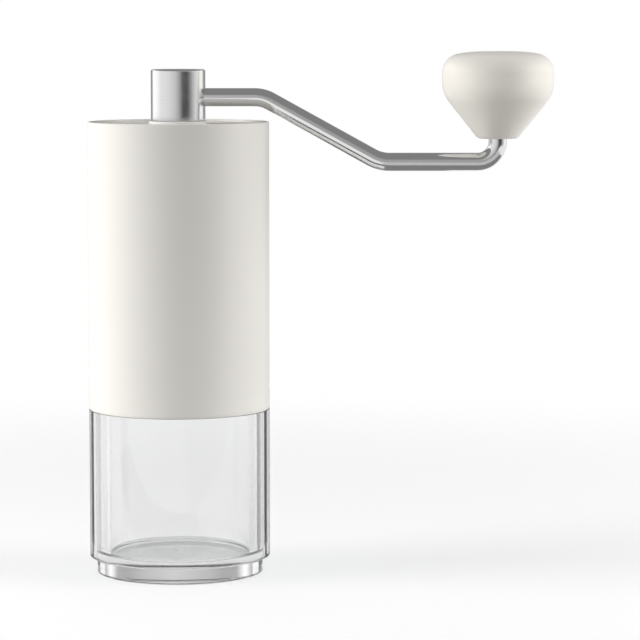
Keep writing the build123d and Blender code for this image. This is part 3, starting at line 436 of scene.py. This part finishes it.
bearing_chrome, tree, shader, place = new_material("bearing_chrome", Metallic=1.0)
film = placed(tree, handled_film, place, Roughness=0.07, Smear=0.09, Scale=420.0)
oiled = blended(tree, film["Mask"], (0.70, 0.70, 0.71, 1), (0.60, 0.585, 0.55, 1))
wheel = placed(tree, lathe_lines, place, Pitch=9000.0)
finish(tree, shader, wheel["Height"], 6e-7, Base_Color=oiled, Roughness=film["Roughness"])
for bearing in ("lower_bearing_", "upper_bearing_"):
    dress(bearing_chrome, bearing + "outer", bearing + "inner", bearing + "balls")

bearing_rubber, tree, shader, place = new_material("bearing_rubber", IOR=1.52)
skin = placed(
    tree, moulded_skin, place, Colour=(0.022, 0.021, 0.02, 1), Tone=0.2, Roughness=0.55,
    Spread=0.3, Grain=4200.0,
)
finish(tree, shader, skin["Height"], 8e-6, Base_Color=skin["Colour"], Roughness=skin["Roughness"])
dress(bearing_rubber, "lower_bearing_seals", "upper_bearing_seals")

# ---------------------------------------------------------------------------------------------
# Drive shaft with its clips. The real one is turned from stainless steel bar, with a hexagon at
# its top for the crank; E-clips in its grooves keep it between the bearings, and a coil spring
# and a wave washer push the inner burr down on the adjustment.
# ---------------------------------------------------------------------------------------------
shaft_steel, tree, shader, place = new_material("shaft_steel", Metallic=1.0)
tool = placed(tree, lathe_lines, place, Pitch=5200.0, Roughness=0.24, Spread=0.24)
film = placed(tree, handled_film, place, Roughness=tool["Roughness"], Smear=0.08, Scale=160.0)
scored = blended(tree, tool["Mask"], (0.66, 0.66, 0.665, 1), (0.50, 0.50, 0.505, 1))
finish(tree, shader, tool["Height"], 4e-6, Base_Color=scored, Roughness=film["Roughness"])
dress(shaft_steel, "drive_shaft")
dress(spring_wire, "shaft_clips", "spring_washer", "burr_spring")

# ---------------------------------------------------------------------------------------------
# Inner burr and click plate. The real burr is a cone of the same hardened steel as the outer
# one; the click plate below it, turned and milled, has the row of dimples the dial clicks in.
# ---------------------------------------------------------------------------------------------
dress(ground_steel, "inner_burr")
dress(shaft_steel, "click_plate")

# ---------------------------------------------------------------------------------------------
# Adjustment dial. The real one is a fluted aluminium nut on the shaft's threaded end, blasted
# and clear-anodised. Balls on small springs in it click in the plate above.
# ---------------------------------------------------------------------------------------------
dial_aluminium, tree, shader, place = new_material("dial_aluminium", Metallic=1.0)
skin = placed(
    tree, blasted_skin, place, Colour=(0.72, 0.725, 0.735, 1), Pits=4200.0, Roughness=0.34,
    Spread=0.15,
)
level = put(tree, "SeparateXYZ", {"Vector": place}).outputs["Z"]
dial_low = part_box("adjustment_dial")[0][2]
rubbed = placed(tree, worn_edge, place, Coordinate=level, Level=dial_low, Reach=0.0012)["Mask"]
bared = blended(tree, rubbed, skin["Colour"], (0.86, 0.86, 0.865, 1))
polished = maths(tree, "MULTIPLY_ADD", rubbed, -0.15, skin["Roughness"])
finish(tree, shader, skin["Height"], 6e-6, Base_Color=bared, Roughness=polished)
dress(dial_aluminium, "adjustment_dial")
dress(bearing_chrome, "detent_balls")
dress(spring_wire, "detent_springs")

# ---------------------------------------------------------------------------------------------
# Cup. The real one is two clear mouldings, polished: a thick-walled vessel with a foot, a gate
# mark in its floor and a neck that pushes into the barrel, where the seal alone holds it, and a
# sleeve pressed over it, flush with the barrel. A film of air parts the two.
# ---------------------------------------------------------------------------------------------
neck_top = extent("cup")[1, 2]
seal_low, seal_top = extent("cup_seal")[:, 2]
vessel_radius, vessel_bore, vessel_floor = 27.9, 23.4, 7.0
foot_radius, foot_top = 27.7, 5.5
hollow, hollow_inner, hollow_outer = 0.35, 24.2, 26.0
gate_radius, gate_depth = 1.5, 0.2
seal_groove, air_film = 26.9, 0.2
vessel_outline = rounded([
    (0, 0, 0), (hollow_inner, 0, 0.4), (hollow_inner + 0.4, hollow, 0.3),
    (hollow_outer - 0.4, hollow, 0.3), (hollow_outer, 0, 0.3), (foot_radius, 0, 0.5),
    (foot_radius, foot_top, 0.1), (vessel_radius, foot_top + 0.2, 0.1),
    (vessel_radius, seal_low - play, 0.12), (seal_groove, seal_low - play, 0.12),
    (seal_groove, seal_top + play, 0.12), (vessel_radius, seal_top + play, 0.12),
    (vessel_radius, neck_top, 0.4), (vessel_bore, neck_top, 0.5), (vessel_bore, vessel_floor, 1.2),
    (gate_radius, vessel_floor, 0.15), (gate_radius - 0.3, vessel_floor - gate_depth, 0.3),
    (0, vessel_floor - gate_depth, 0),
], steps=8)
cup_body = turned("cup_body", vessel_outline, around=256)
sleeve_bore = vessel_radius + air_film
sleeve_outline = rounded([
    (sleeve_bore, foot_top, 0.1), (body_radius, foot_top, 0.3), (body_radius, seam, 0.15),
    (sleeve_bore, seam, 0.1),
], steps=8, closed=True)
cup_sleeve = turned("cup_sleeve", sleeve_outline, around=256, closed=True)
for piece in (cup_body, cup_sleeve):
    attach(piece, "cup")
    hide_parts("cup")

clear_cup, tree, shader, place = new_material("clear_cup", IOR=1.5, Transmission_Weight=1.0)
film = placed(tree, handled_film, place, Roughness=0.0, Smear=0.006, Scale=70.0)
skin = placed(tree, moulded_skin, place, Colour=(0.972, 0.974, 0.973, 1), Tone=0.004, Grain=55.0)
finish(tree, shader, skin["Height"], 4e-6, Base_Color=skin["Colour"], Roughness=film["Roughness"])
shadow = put(tree, "LightPath", {}).outputs["Is Shadow Ray"]
lets_through = put(tree, "BsdfTransparent", {"Color": (0.93, 0.94, 0.94, 1)})
mixed = put(tree, "MixShader", {0: shadow, 1: shader.outputs[0], 2: lets_through.outputs[0]})
tree.links.new(mixed.outputs[0], tree.nodes["Material Output"].inputs["Surface"])
dress(clear_cup, cup_body, cup_sleeve)

# ---------------------------------------------------------------------------------------------
# Cup seal and lid seal: rings of milky silicone, moulded, dull and a little soft, each in its
# groove, that grip the barrel's bore.
# ---------------------------------------------------------------------------------------------
silicone, tree, shader, place = new_material("silicone", IOR=1.41, Subsurface_Weight=0.25)
shader.inputs["Subsurface Scale"].default_value = 0.0006
skin = placed(
    tree, moulded_skin, place, Colour=(0.80, 0.795, 0.77, 1), Tone=0.03, Roughness=0.5,
    Spread=0.25, Grain=3000.0,
)
finish(tree, shader, skin["Height"], 6e-6, Base_Color=skin["Colour"], Roughness=skin["Roughness"])
dress(silicone, "cup_seal", "lid_seal")

# ---------------------------------------------------------------------------------------------
# Lid. The real one is moulded and coated like the barrel: a disc that lies in the rim, a plug
# below it with a groove for the seal, and a boss that the crank's spigot runs in.
# ---------------------------------------------------------------------------------------------
(_, _, plug_low), (lid_radius, _, lid_top) = extent("lid")
seal_low, seal_top = extent("lid_seal")[:, 2]
boss_radius, boss_bore, boss_low = 9.6, 7.06, 143.9
plug_radius, plug_bore, seal_groove = 25.95, 23.75, 25.15
lid_outline = rounded([
    (boss_radius, boss_low, 0.3), (boss_radius, lip_top, 0.5), (plug_bore, lip_top, 0.4),
    (plug_bore, plug_low, 0.3), (plug_radius, plug_low, 0.3), (plug_radius, seal_low - play, 0.1),
    (seal_groove, seal_low - play, 0.1), (seal_groove, seal_top + play, 0.1),
    (plug_radius, seal_top + play, 0.1), (plug_radius, lip_top, 0.1), (lid_radius, lip_top, 0.15),
    (lid_radius, lid_top, 0.5), (boss_bore, lid_top, 0.15), (boss_bore, boss_low, 0.2),
], steps=7, closed=True)
lid_disc = turned("lid_disc", lid_outline, around=192, closed=True)
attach(lid_disc, "lid")
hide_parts("lid")
dress(white_coat, lid_disc)

# ---------------------------------------------------------------------------------------------
# Collar under the hub: a thin white washer of acetal that the crank's hub turns on. The knob's
# sleeve is of the same slippery plastic.
# ---------------------------------------------------------------------------------------------
collar_radius, _, collar_top = extent("hub_collar")[1]
collar_outline = rounded([
    (collar_radius, lid_top, 0.1), (collar_radius, collar_top, 0.3), (boss_bore, collar_top, 0.15),
    (boss_bore, lid_top, 0.1),
], closed=True)
collar_ring = turned("collar_ring", collar_outline, around=160, closed=True)
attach(collar_ring, "lid")
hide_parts("hub_collar")

acetal, tree, shader, place = new_material("acetal", IOR=1.48)
skin = placed(
    tree, moulded_skin, place, Colour=(0.87, 0.86, 0.83, 1), Tone=0.015, Roughness=0.36,
    Spread=0.12, Grain=1800.0,
)
tool = placed(tree, lathe_lines, place, Pitch=3600.0)
finish(
    tree, shader, maths(tree, "MULTIPLY_ADD", tool["Height"], 0.5, skin["Height"]), 4e-6,
    Base_Color=skin["Colour"], Roughness=skin["Roughness"],
)
dress(acetal, collar_ring, "knob_sleeve")

# ---------------------------------------------------------------------------------------------
# Crank hub. The real one is turned from steel bar and satin-finished. Its spigot goes down
# through the lid and is held there by a clip; a hexagon socket in it takes the shaft's end.
# ---------------------------------------------------------------------------------------------
def socketed(name, outline, corner, around=192):
    """Surface of revolution, in metres, whose rows within the corner radius are hexagons.

    There r(v) is times cos 30 / cos w, where w is the angle from the middle of the nearest side,
    and the normal's share along the radius points along that middle.
    """
    u = np.linspace(0, 2 * np.pi, around, endpoint=False)
    middle = (np.floor(3 * u / np.pi) + 0.5) * np.pi / 3
    share = np.cos(np.pi / 6) / np.cos(u - middle)
    ring, flat_ring = [
        np.stack([np.cos(turn), np.sin(turn), 0 * turn], axis=1) for turn in (u, middle)
    ]
    up = np.array([0.0, 0.0, 1.0])
    points, normals = outline
    rounding = 1e-6
    inside = (points[:, 0] < corner + rounding)[:, None, None]
    at = points[:, :1, None] * np.where(inside, share[:, None] * ring, ring)
    normal = normals[:, :1, None] * np.where(inside, flat_ring, ring)
    at, normal = at + points[:, 1:, None] * up, normal + normals[:, 1:, None] * up
    return grid_piece(name, at / 1000, normal)


(_, _, spigot_low), (hub_radius, _, hub_top) = extent("crank_hub")
clip_low, clip_top = extent("hub_clip")[:, 2]
socket_corner, mouth_radius, mouth_depth = 3.06, 3.2, 0.4
socket_top = extent("drive_shaft")[1, 2] + 0.8
spigot_radius, clip_groove = 7.0, 6.4
recess_radius, recess_depth = 6.6, 0.25
hub_outline = rounded([
    (0, socket_top, 0), (socket_corner, socket_top, 0.1),
    (socket_corner, spigot_low + mouth_depth, 0.03), (mouth_radius, spigot_low + mouth_depth, 0.05),
    (mouth_radius, spigot_low, 0.1), (spigot_radius, spigot_low, 0.3),
    (spigot_radius, clip_low - play, 0.05), (clip_groove, clip_low - play, 0.05),
    (clip_groove, clip_top + play, 0.05), (spigot_radius, clip_top + play, 0.05),
    (spigot_radius, collar_top, 0.2), (hub_radius, collar_top, 0.25), (hub_radius, hub_top, 0.7),
    (recess_radius, hub_top, 0.25), (recess_radius - 0.3, hub_top - recess_depth, 0.3),
    (0, hub_top - recess_depth, 0),
], steps=8)
hub_body = socketed("hub_body", hub_outline, socket_corner)
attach(hub_body, "crank")
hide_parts("crank_hub")

satin_steel, tree, shader, place = new_material("satin_steel", Metallic=1.0)
tool = placed(tree, lathe_lines, place, Pitch=3000.0, Roughness=0.15, Spread=0.08)
film = placed(tree, handled_film, place, Roughness=tool["Roughness"], Smear=0.04, Scale=130.0)
scored = blended(tree, tool["Mask"], (0.78, 0.78, 0.785, 1), (0.68, 0.68, 0.685, 1))
finish(tree, shader, tool["Height"], 1.5e-6, Base_Color=scored, Roughness=film["Roughness"])
dress(satin_steel, hub_body)
dress(spring_wire, "hub_clip", "knob_clip")


# ---------------------------------------------------------------------------------------------
# Crank arm. The real one is 6 mm round steel bar, bent cold in three places and polished; one
# end is set in the hub's side, and the other stands up as the knob's spindle, with a groove for
# the clip that keeps the knob on.
# ---------------------------------------------------------------------------------------------
def round_bar(name, line, radius, around=64):
    """Round bar along a line in the plane y = 0: P(u, v) = C(v) + r(v) (cos u N(v) + sin u Y).

    C(v) is a point of the line, N(v) its normal in that plane and r(v) the bar's radius there.
    """
    points, normals = line
    u = np.linspace(0, 2 * np.pi, around, endpoint=False)
    flat = np.stack([normals[:, 0], 0 * normals[:, 0], normals[:, 1]], axis=1)[:, None]
    out = np.cos(u)[None, :, None] * flat + np.sin(u)[None, :, None] * np.array([0, 1.0, 0])
    centre = np.stack([points[:, 0], 0 * points[:, 0], points[:, 1]], axis=1)[:, None]
    return grid_piece(name, (centre + radius[:, None, None] * out) / 1000, out)


(arm_start, _, arm_under), (arm_reach, _, spindle_top) = extent("crank_arm")
clip_low, clip_top = extent("knob_clip")[:, 2]
bar, chamfer, clip_groove = 3.0, 0.4, 2.5
arm_high, arm_low, crank_radius = 158.0, arm_under + bar, arm_reach - bar
slope_start, slope_end, spindle_foot = 28.0, 66.6, 150.0
upper_bend, lower_bend, spindle_bend = 10.5, 12.6, 6.6  # radii of the bar's middle line
bends, bend_normals = rounded([
    (arm_start + chamfer, arm_high, 0), (slope_start, arm_high, upper_bend),
    (slope_end, arm_low, lower_bend), (crank_radius, arm_low, spindle_bend),
    (crank_radius, spindle_foot, 0),
], steps=28)
hub_end = np.array([(arm_start, arm_high, 0.0), (arm_start, arm_high, bar - chamfer)])
spindle = np.array([(crank_radius, level, radius) for level, radius in (
    (clip_low - play, bar), (clip_low - play, clip_groove), (clip_top + play, clip_groove),
    (clip_top + play, bar), (spindle_top - chamfer, bar), (spindle_top, bar - chamfer),
    (spindle_top, 0.0),
)])
line = np.concatenate([hub_end[:, :2], bends, spindle[:, :2]])
line_normals = np.concatenate([
    np.repeat(bend_normals[:1], len(hub_end), axis=0), bend_normals,
    np.repeat(bend_normals[-1:], len(spindle), axis=0),
])
bar_radius = np.concatenate([hub_end[:, 2], np.full(len(bends), bar), spindle[:, 2]])
arm_rod = round_bar("arm_rod", (line, line_normals), bar_radius)
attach(arm_rod, "crank")
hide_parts("crank_arm")

polished_bar, tree, shader, place = new_material("polished_bar", Metallic=1.0)
unrolled = put(tree, "TexCoord", {}).outputs["UV"]
stretched = put(tree, "Mapping", {"Vector": unrolled, "Scale": (90, 60, 1)}).outputs["Vector"]
belt = placed(tree, drawn_lines, stretched, Roughness=0.1, Spread=0.06)
film = placed(tree, handled_film, place, Roughness=belt["Roughness"], Smear=0.03, Scale=110.0)
scored = blended(tree, belt["Mask"], (0.78, 0.78, 0.785, 1), (0.70, 0.70, 0.705, 1))
finish(tree, shader, belt["Height"], 1e-7, Base_Color=scored, Roughness=film["Roughness"])
dress(polished_bar, arm_rod)

# ---------------------------------------------------------------------------------------------
# Knob. The real one is moulded in off-white nylon, satin: a domed disc over a cone. It is
# pressed on a plain sleeve that spins on the arm's end.
# ---------------------------------------------------------------------------------------------
(_, _, knob_low), (_, knob_radius, knob_top) = extent("knob_shell")
knob_bore, bore_top, knob_foot = 4.97, spindle_top + 2.0, 6.6
cone_top, shoulder, dome_begin = knob_low + 15.0, knob_top - 1.65, 8.5
knob_outline = rounded([
    (0, bore_top, 0), (knob_bore, bore_top, 0.3), (knob_bore, knob_low, 0.3),
    (knob_foot, knob_low, 2.2), (knob_radius, cone_top, 11.0), (knob_radius, shoulder, 6.5),
    (dome_begin, knob_top, 50.0), (0, knob_top, 0),
], steps=24)
knob_body = turned("knob_body", knob_outline, axis_x=crank_radius / 1000)
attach(knob_body, "knob")
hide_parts("knob_shell")

white_nylon, tree, shader, place = new_material("white_nylon", IOR=1.53)
centred = put(tree, "Mapping", {
    "Vector": place, "Location": (-crank_radius / 1000, 0, 0),
}).outputs["Vector"]
skin = placed(
    tree, moulded_skin, centred, Colour=(0.935, 0.902, 0.832, 1), Tone=0.01, Roughness=0.36,
    Spread=0.14, Grain=1500.0,
)
film = placed(tree, handled_film, centred, Roughness=skin["Roughness"], Smear=-0.06, Scale=60.0)
finish(tree, shader, skin["Height"], 4e-6, Base_Color=skin["Colour"], Roughness=film["Roughness"])
dress(white_nylon, knob_body)

# ---------------------------------------------------------------------------------------------
# Studio. A floor of pale paper and two soft lamps, one at each side, light the grinder plainly.
# Cards stand round it that only its steel and its clear walls see: pale ones for the highlights,
# dark ones that draw the edges. None of them lights it or throws a shadow.
# ---------------------------------------------------------------------------------------------
def card(name, points, faces, material, sees="glossy"):
    """Card of faces over points in metres, met by mirrored rays or, if it sees "clear", by
    refracted ones, and by no others."""
    mesh = bpy.data.meshes.new(name)
    mesh.from_pydata(points, [], faces)
    mesh.materials.append(material)
    stood = bpy.data.objects.new(name, mesh)
    bpy.context.scene.collection.objects.link(stood)
    stood.visible_camera = stood.visible_diffuse = stood.visible_shadow = False
    stood.visible_glossy, stood.visible_transmission = sees == "glossy", sees == "clear"
    stood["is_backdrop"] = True


def panel(name, reach, levels, bearings, material, sees="glossy"):
    """Upright card bent round the object: P(u, v) = (reach sin u, -reach cos u, v).

    u is the bearing in degrees from the front, to the right, and v the level.
    """
    columns = 73
    u, v = np.meshgrid(np.radians(np.linspace(*bearings, columns)), levels)
    at = np.stack([reach * np.sin(u), -reach * np.cos(u), v], axis=2).reshape(-1, 3)
    k = np.arange(columns - 1)
    faces = np.stack([k, k + 1, k + 1 + columns, k + columns], axis=1)
    card(name, at.tolist(), faces.tolist(), material, sees)


def flat_card(name, corners, level, material, sees="glossy"):
    """Card that lies level, going round its four (x, y) corners."""
    card(name, [(x, y, level) for x, y in corners], [(0, 1, 2, 3)], material, sees)


def glowing(name, glow_level):
    """Material that only glows, at one level; returns it with its tree and its Emission node."""
    material = bpy.data.materials.new(name)
    material.use_nodes = True
    tree = material.node_tree
    tree.nodes.remove(tree.nodes["Principled BSDF"])
    glow = put(tree, "Emission", {"Color": (1, 1, 1, 1), "Strength": glow_level})
    tree.links.new(glow.outputs[0], tree.nodes["Material Output"].inputs["Surface"])
    return material, tree, glow


def graded(name, grades):
    """Material that only glows, at levels graded by the bearing: a list of (degrees, level)."""
    material, tree, glow = glowing(name, 1.0)
    xyz = put(tree, "SeparateXYZ", {"Vector": put(tree, "TexCoord", {}).outputs["Object"]}).outputs
    bearing = maths(tree, "ARCTAN2", xyz["X"], maths(tree, "MULTIPLY", xyz["Y"], -1.0))
    bearing = maths(tree, "MULTIPLY_ADD", bearing, 0.5 / np.pi, 0.5)
    ramp = put(tree, "ValToRGB", {"Fac": bearing})
    stops = ramp.color_ramp.elements
    stops.remove(stops[0])
    for at, (degrees, level) in enumerate(grades):
        stop = stops.new((degrees + 180) / 360) if at else stops[0]
        stop.position, stop.color = (degrees + 180) / 360, (level, level, level, 1)
    tree.links.new(ramp.outputs["Color"], glow.inputs["Color"])
    return material


# The paper is lit near the grinder and glows white far from it, so that it has no horizon. It
# glows for the camera, for mirrored rays and, less so close by, for rays through the cup: a painted
# shade round the cup that only its walls show. Under the cup's foot its glow is 1.8 times as
# strong, a painted pool of light where light through the clear cup would fall.
paper_corners = [(-4, -4), (4, -4), (4, 4), (-4, 4)]
paper_level = -1e-4
floor_mesh = bpy.data.meshes.new("floor")
floor_mesh.from_pydata([(x, y, paper_level) for x, y in paper_corners], [], [(0, 1, 2, 3)])
floor = bpy.data.objects.new("floor", floor_mesh)
bpy.context.scene.collection.objects.link(floor)
floor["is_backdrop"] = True

pale_paper, tree, glow = glowing("pale_paper", 1.0)
place = put(tree, "TexCoord", {}).outputs["Object"]
reach = put(tree, "VectorMath", {"Vector": place}, operation="LENGTH").outputs["Value"]
far = put(tree, "MapRange", {
    "Value": reach, "From Min": 0.12, "From Max": 0.5,
}, interpolation_type="SMOOTHSTEP").outputs["Result"]
# Painted light: under the cup's foot the paper's glow is 1.8 times as strong, for light through the
# clear cup.
painted_light_under_foot = put(tree, "MapRange", {
    "Value": reach, "From Min": 0.0255, "From Max": 0.0275, "To Min": 1.8,
}).outputs["Result"]
# Painted shade: rays through the cup see the paper's glow fall to 0.45 close beside it.
painted_shade_beside_cup = put(tree, "MapRange", {
    "Value": reach, "From Min": 0.04, "From Max": 0.055, "To Min": 0.45, "To Max": 1.0,
}).outputs["Result"]
ray = put(tree, "LightPath", {}).outputs
direct = maths(tree, "MAXIMUM", ray["Is Camera Ray"], ray["Is Glossy Ray"])
direct = maths(tree, "MULTIPLY", direct, maths(tree, "SUBTRACT", 1.0, ray["Is Transmission Ray"]))
refracted = maths(tree, "MULTIPLY", ray["Is Transmission Ray"], painted_shade_beside_cup)
seen = maths(tree, "MAXIMUM", refracted, direct)
fleck = maths(tree, "MULTIPLY_ADD", noise(tree, place, 700.0, 3.0), 0.02, 0.69)
tint = maths(tree, "MULTIPLY", maths(tree, "SUBTRACT", 1.0, far), fleck)
paper = put(tree, "BsdfDiffuse", {"Color": tint})
shown = maths(tree, "MULTIPLY", maths(tree, "MULTIPLY_ADD", far, 0.6, 0.4), painted_light_under_foot)
tree.links.new(maths(tree, "MULTIPLY", seen, shown), glow.inputs["Strength"])
both = put(tree, "AddShader", {0: paper.outputs[0], 1: glow.outputs[0]})
tree.links.new(both.outputs[0], tree.nodes["Material Output"].inputs["Surface"])
floor_mesh.materials.append(pale_paper)

# Level cards that the crank's bar and the hub mirror: level of grey, height, x range, y range.
for name, grey, height, (left, right), (front, back) in (
    ("low_card", 0.25, 0.058, (0.06, 0.25), (-0.092, 0.06)),
    ("side_card", 0.22, 0.001, (-0.3, 0.06), (-0.17, -0.075)),
    ("behind_card", 0.2, 0.001, (-0.045, 0.028), (0.05, 0.25)),
    ("front_card", 0.6, 0.001, (0.05, 0.4), (-0.9, -0.17)),
):
    corners = [(left, front), (right, front), (right, back), (left, back)]
    flat_card(name, corners, height, glowing(name + "_grey", grey)[0])

# The wall all round gives the steel its long soft highlights, and the flag low in front of it the
# dark bands between them.
panel("light_wall", 1.1, (0.0, 0.75), (-180, 180), graded("wall_light", (
    (-180, 0.4), (-168, 0.4), (-154, 0.65), (-143, 1.25), (-115, 1.3), (-100, 1.25), (-76, 0.96),
    (-38, 0.86), (-21, 0.75), (-8, 0.66), (4, 0.42), (45, 0.42), (72, 0.78), (95, 1.1), (120, 1.15),
    (140, 0.8), (152, 0.4),
)))
panel("dark_flag", 1.0, (0.0, 0.2), (-10, 84), graded("flag_grey", (
    (-10, 0.72), (-2, 0.56), (8, 0.42), (15, 0.22), (23, 0.07), (42, 0.05), (53, 0.22), (66, 0.5),
    (84, 0.85),
)))

# Grey behind the cup, for what its walls mirror at a low angle.
back_grey = glowing("back_grey", 0.35)[0]
for name, side in (("left_back", -1), ("right_back", 1)):
    panel(name + "_flag", 0.12, (0.0, 0.2), (129 * side, 166 * side), back_grey)
    corners = [(0.031, 0.0), (0.0935, 0.075), (0.029, 0.116), (0.026, 0.016)]
    flat_card(name + "_card", [(side * x, y) for x, y in corners], 0.001, back_grey)

# Black for the lines down the cup's edges. Only rays that were mirrored inside the walls meet it,
# past the nearest distance or after they have gone through both walls. The left one is paler
# there, so that its line stays thin.
both_walls, once = 4.5, 0.5
for name, side, paler, nearest in (
    ("left_edge", -1, 0.5, 0.052), ("left_tape", -1, 0.5, 0.0),
    ("right_edge", 1, 0.0, 0.052), ("right_tape", 1, 0.0, 0.0),
):
    black, tree, glow = glowing(name + "_black", 0.02)
    ray = put(tree, "LightPath", {}).outputs
    inner = maths(tree, "GREATER_THAN", ray["Transmission Depth"], both_walls)
    tree.links.new(maths(tree, "MULTIPLY_ADD", inner, paler, 0.02), glow.inputs["Strength"])
    mirrored = maths(tree, "GREATER_THAN", ray["Glossy Depth"], once)
    off = maths(tree, "MAXIMUM", inner, maths(tree, "GREATER_THAN", ray["Ray Length"], nearest))
    passed = put(tree, "BsdfTransparent", {})
    either = put(tree, "MixShader", {
        0: maths(tree, "MULTIPLY", mirrored, off), 1: passed.outputs[0], 2: glow.outputs[0],
    })
    tree.links.new(either.outputs[0], tree.nodes["Material Output"].inputs["Surface"])
    if name.endswith("edge"):
        panel(name, 0.07, (0.0, 0.06), (123 * side, 136 * side), black, "clear")
    else:
        corners = [(0.033, 0.005), (0.036, 0.005), (0.0604, 0.045), (0.05, 0.045)]
        flat_card(name, [(side * x, y) for x, y in corners], 0.001, black, "clear")

# The strip behind the cup that its foot shows, with a bright band near each end.
half_strip = [
    (125, 0.45), (133, 0.5), (137, 0.9), (140, 1.15), (143, 0.9), (148, 0.4), (157, 0.38),
    (166, 0.5), (180, 0.62),
]
left_half = [(-bearing, level) for bearing, level in reversed(half_strip)]
strip_grey = graded("strip_grey", left_half + half_strip)
panel("foot_strip", 0.5, (0.02, 0.2), (130, 230), strip_grey, "clear")

surround = bpy.data.worlds.new("surround")
surround.use_nodes = True
bpy.context.scene.world = surround
tree = surround.node_tree
ray = put(tree, "LightPath", {}).outputs
clear = maths(tree, "MAXIMUM", ray["Is Camera Ray"], ray["Is Transmission Ray"])
level = maths(tree, "MULTIPLY_ADD", clear, 0.68, 0.32)
shiny = maths(tree, "MULTIPLY", ray["Is Glossy Ray"], maths(tree, "SUBTRACT", 1.0, clear))
level = maths(tree, "MULTIPLY_ADD", shiny, -0.06, level)
tree.links.new(level, tree.nodes["Background"].inputs["Strength"])
tree.nodes["Background"].inputs["Color"].default_value = (1, 1, 1, 1)

lamp_reach, lamp_level, lamp_tilt = 0.8, 0.24, np.radians(80)
for name, bearing, power in (("lamp_left", -78, 8.9), ("lamp_right", 81, 5.8)):
    lamp_data = bpy.data.lights.new(name, "AREA")
    lamp_data.shape, lamp_data.size, lamp_data.size_y = "RECTANGLE", 0.5, 0.8
    lamp_data.energy = power
    lamp = bpy.data.objects.new(name, lamp_data)
    turn = np.radians(bearing)
    lamp.location = (lamp_reach * np.sin(turn), -lamp_reach * np.cos(turn), lamp_level)
    lamp.rotation_euler = (lamp_tilt, 0, turn)
    lamp.visible_glossy = False
    lamp.visible_transmission = False
    bpy.context.scene.collection.objects.link(lamp)

lowest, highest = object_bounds()
middle = (np.array(lowest) + np.array(highest)) / 2
aim, distance, tilt = middle + [-0.0002, 0, -0.0024], 0.969, np.radians(5.7)
camera_data = bpy.data.cameras.new("camera")
camera_data.lens = 164.0
camera_data.sensor_width = 36.0
camera = bpy.data.objects.new("camera", camera_data)
camera.location = aim + distance * np.array([0, -np.cos(tilt), np.sin(tilt)])
camera.rotation_euler = (np.pi / 2 - tilt, 0, 0)
bpy.context.scene.collection.objects.link(camera)
bpy.context.scene.camera = camera
bpy.context.scene.view_settings.view_transform = "Standard"
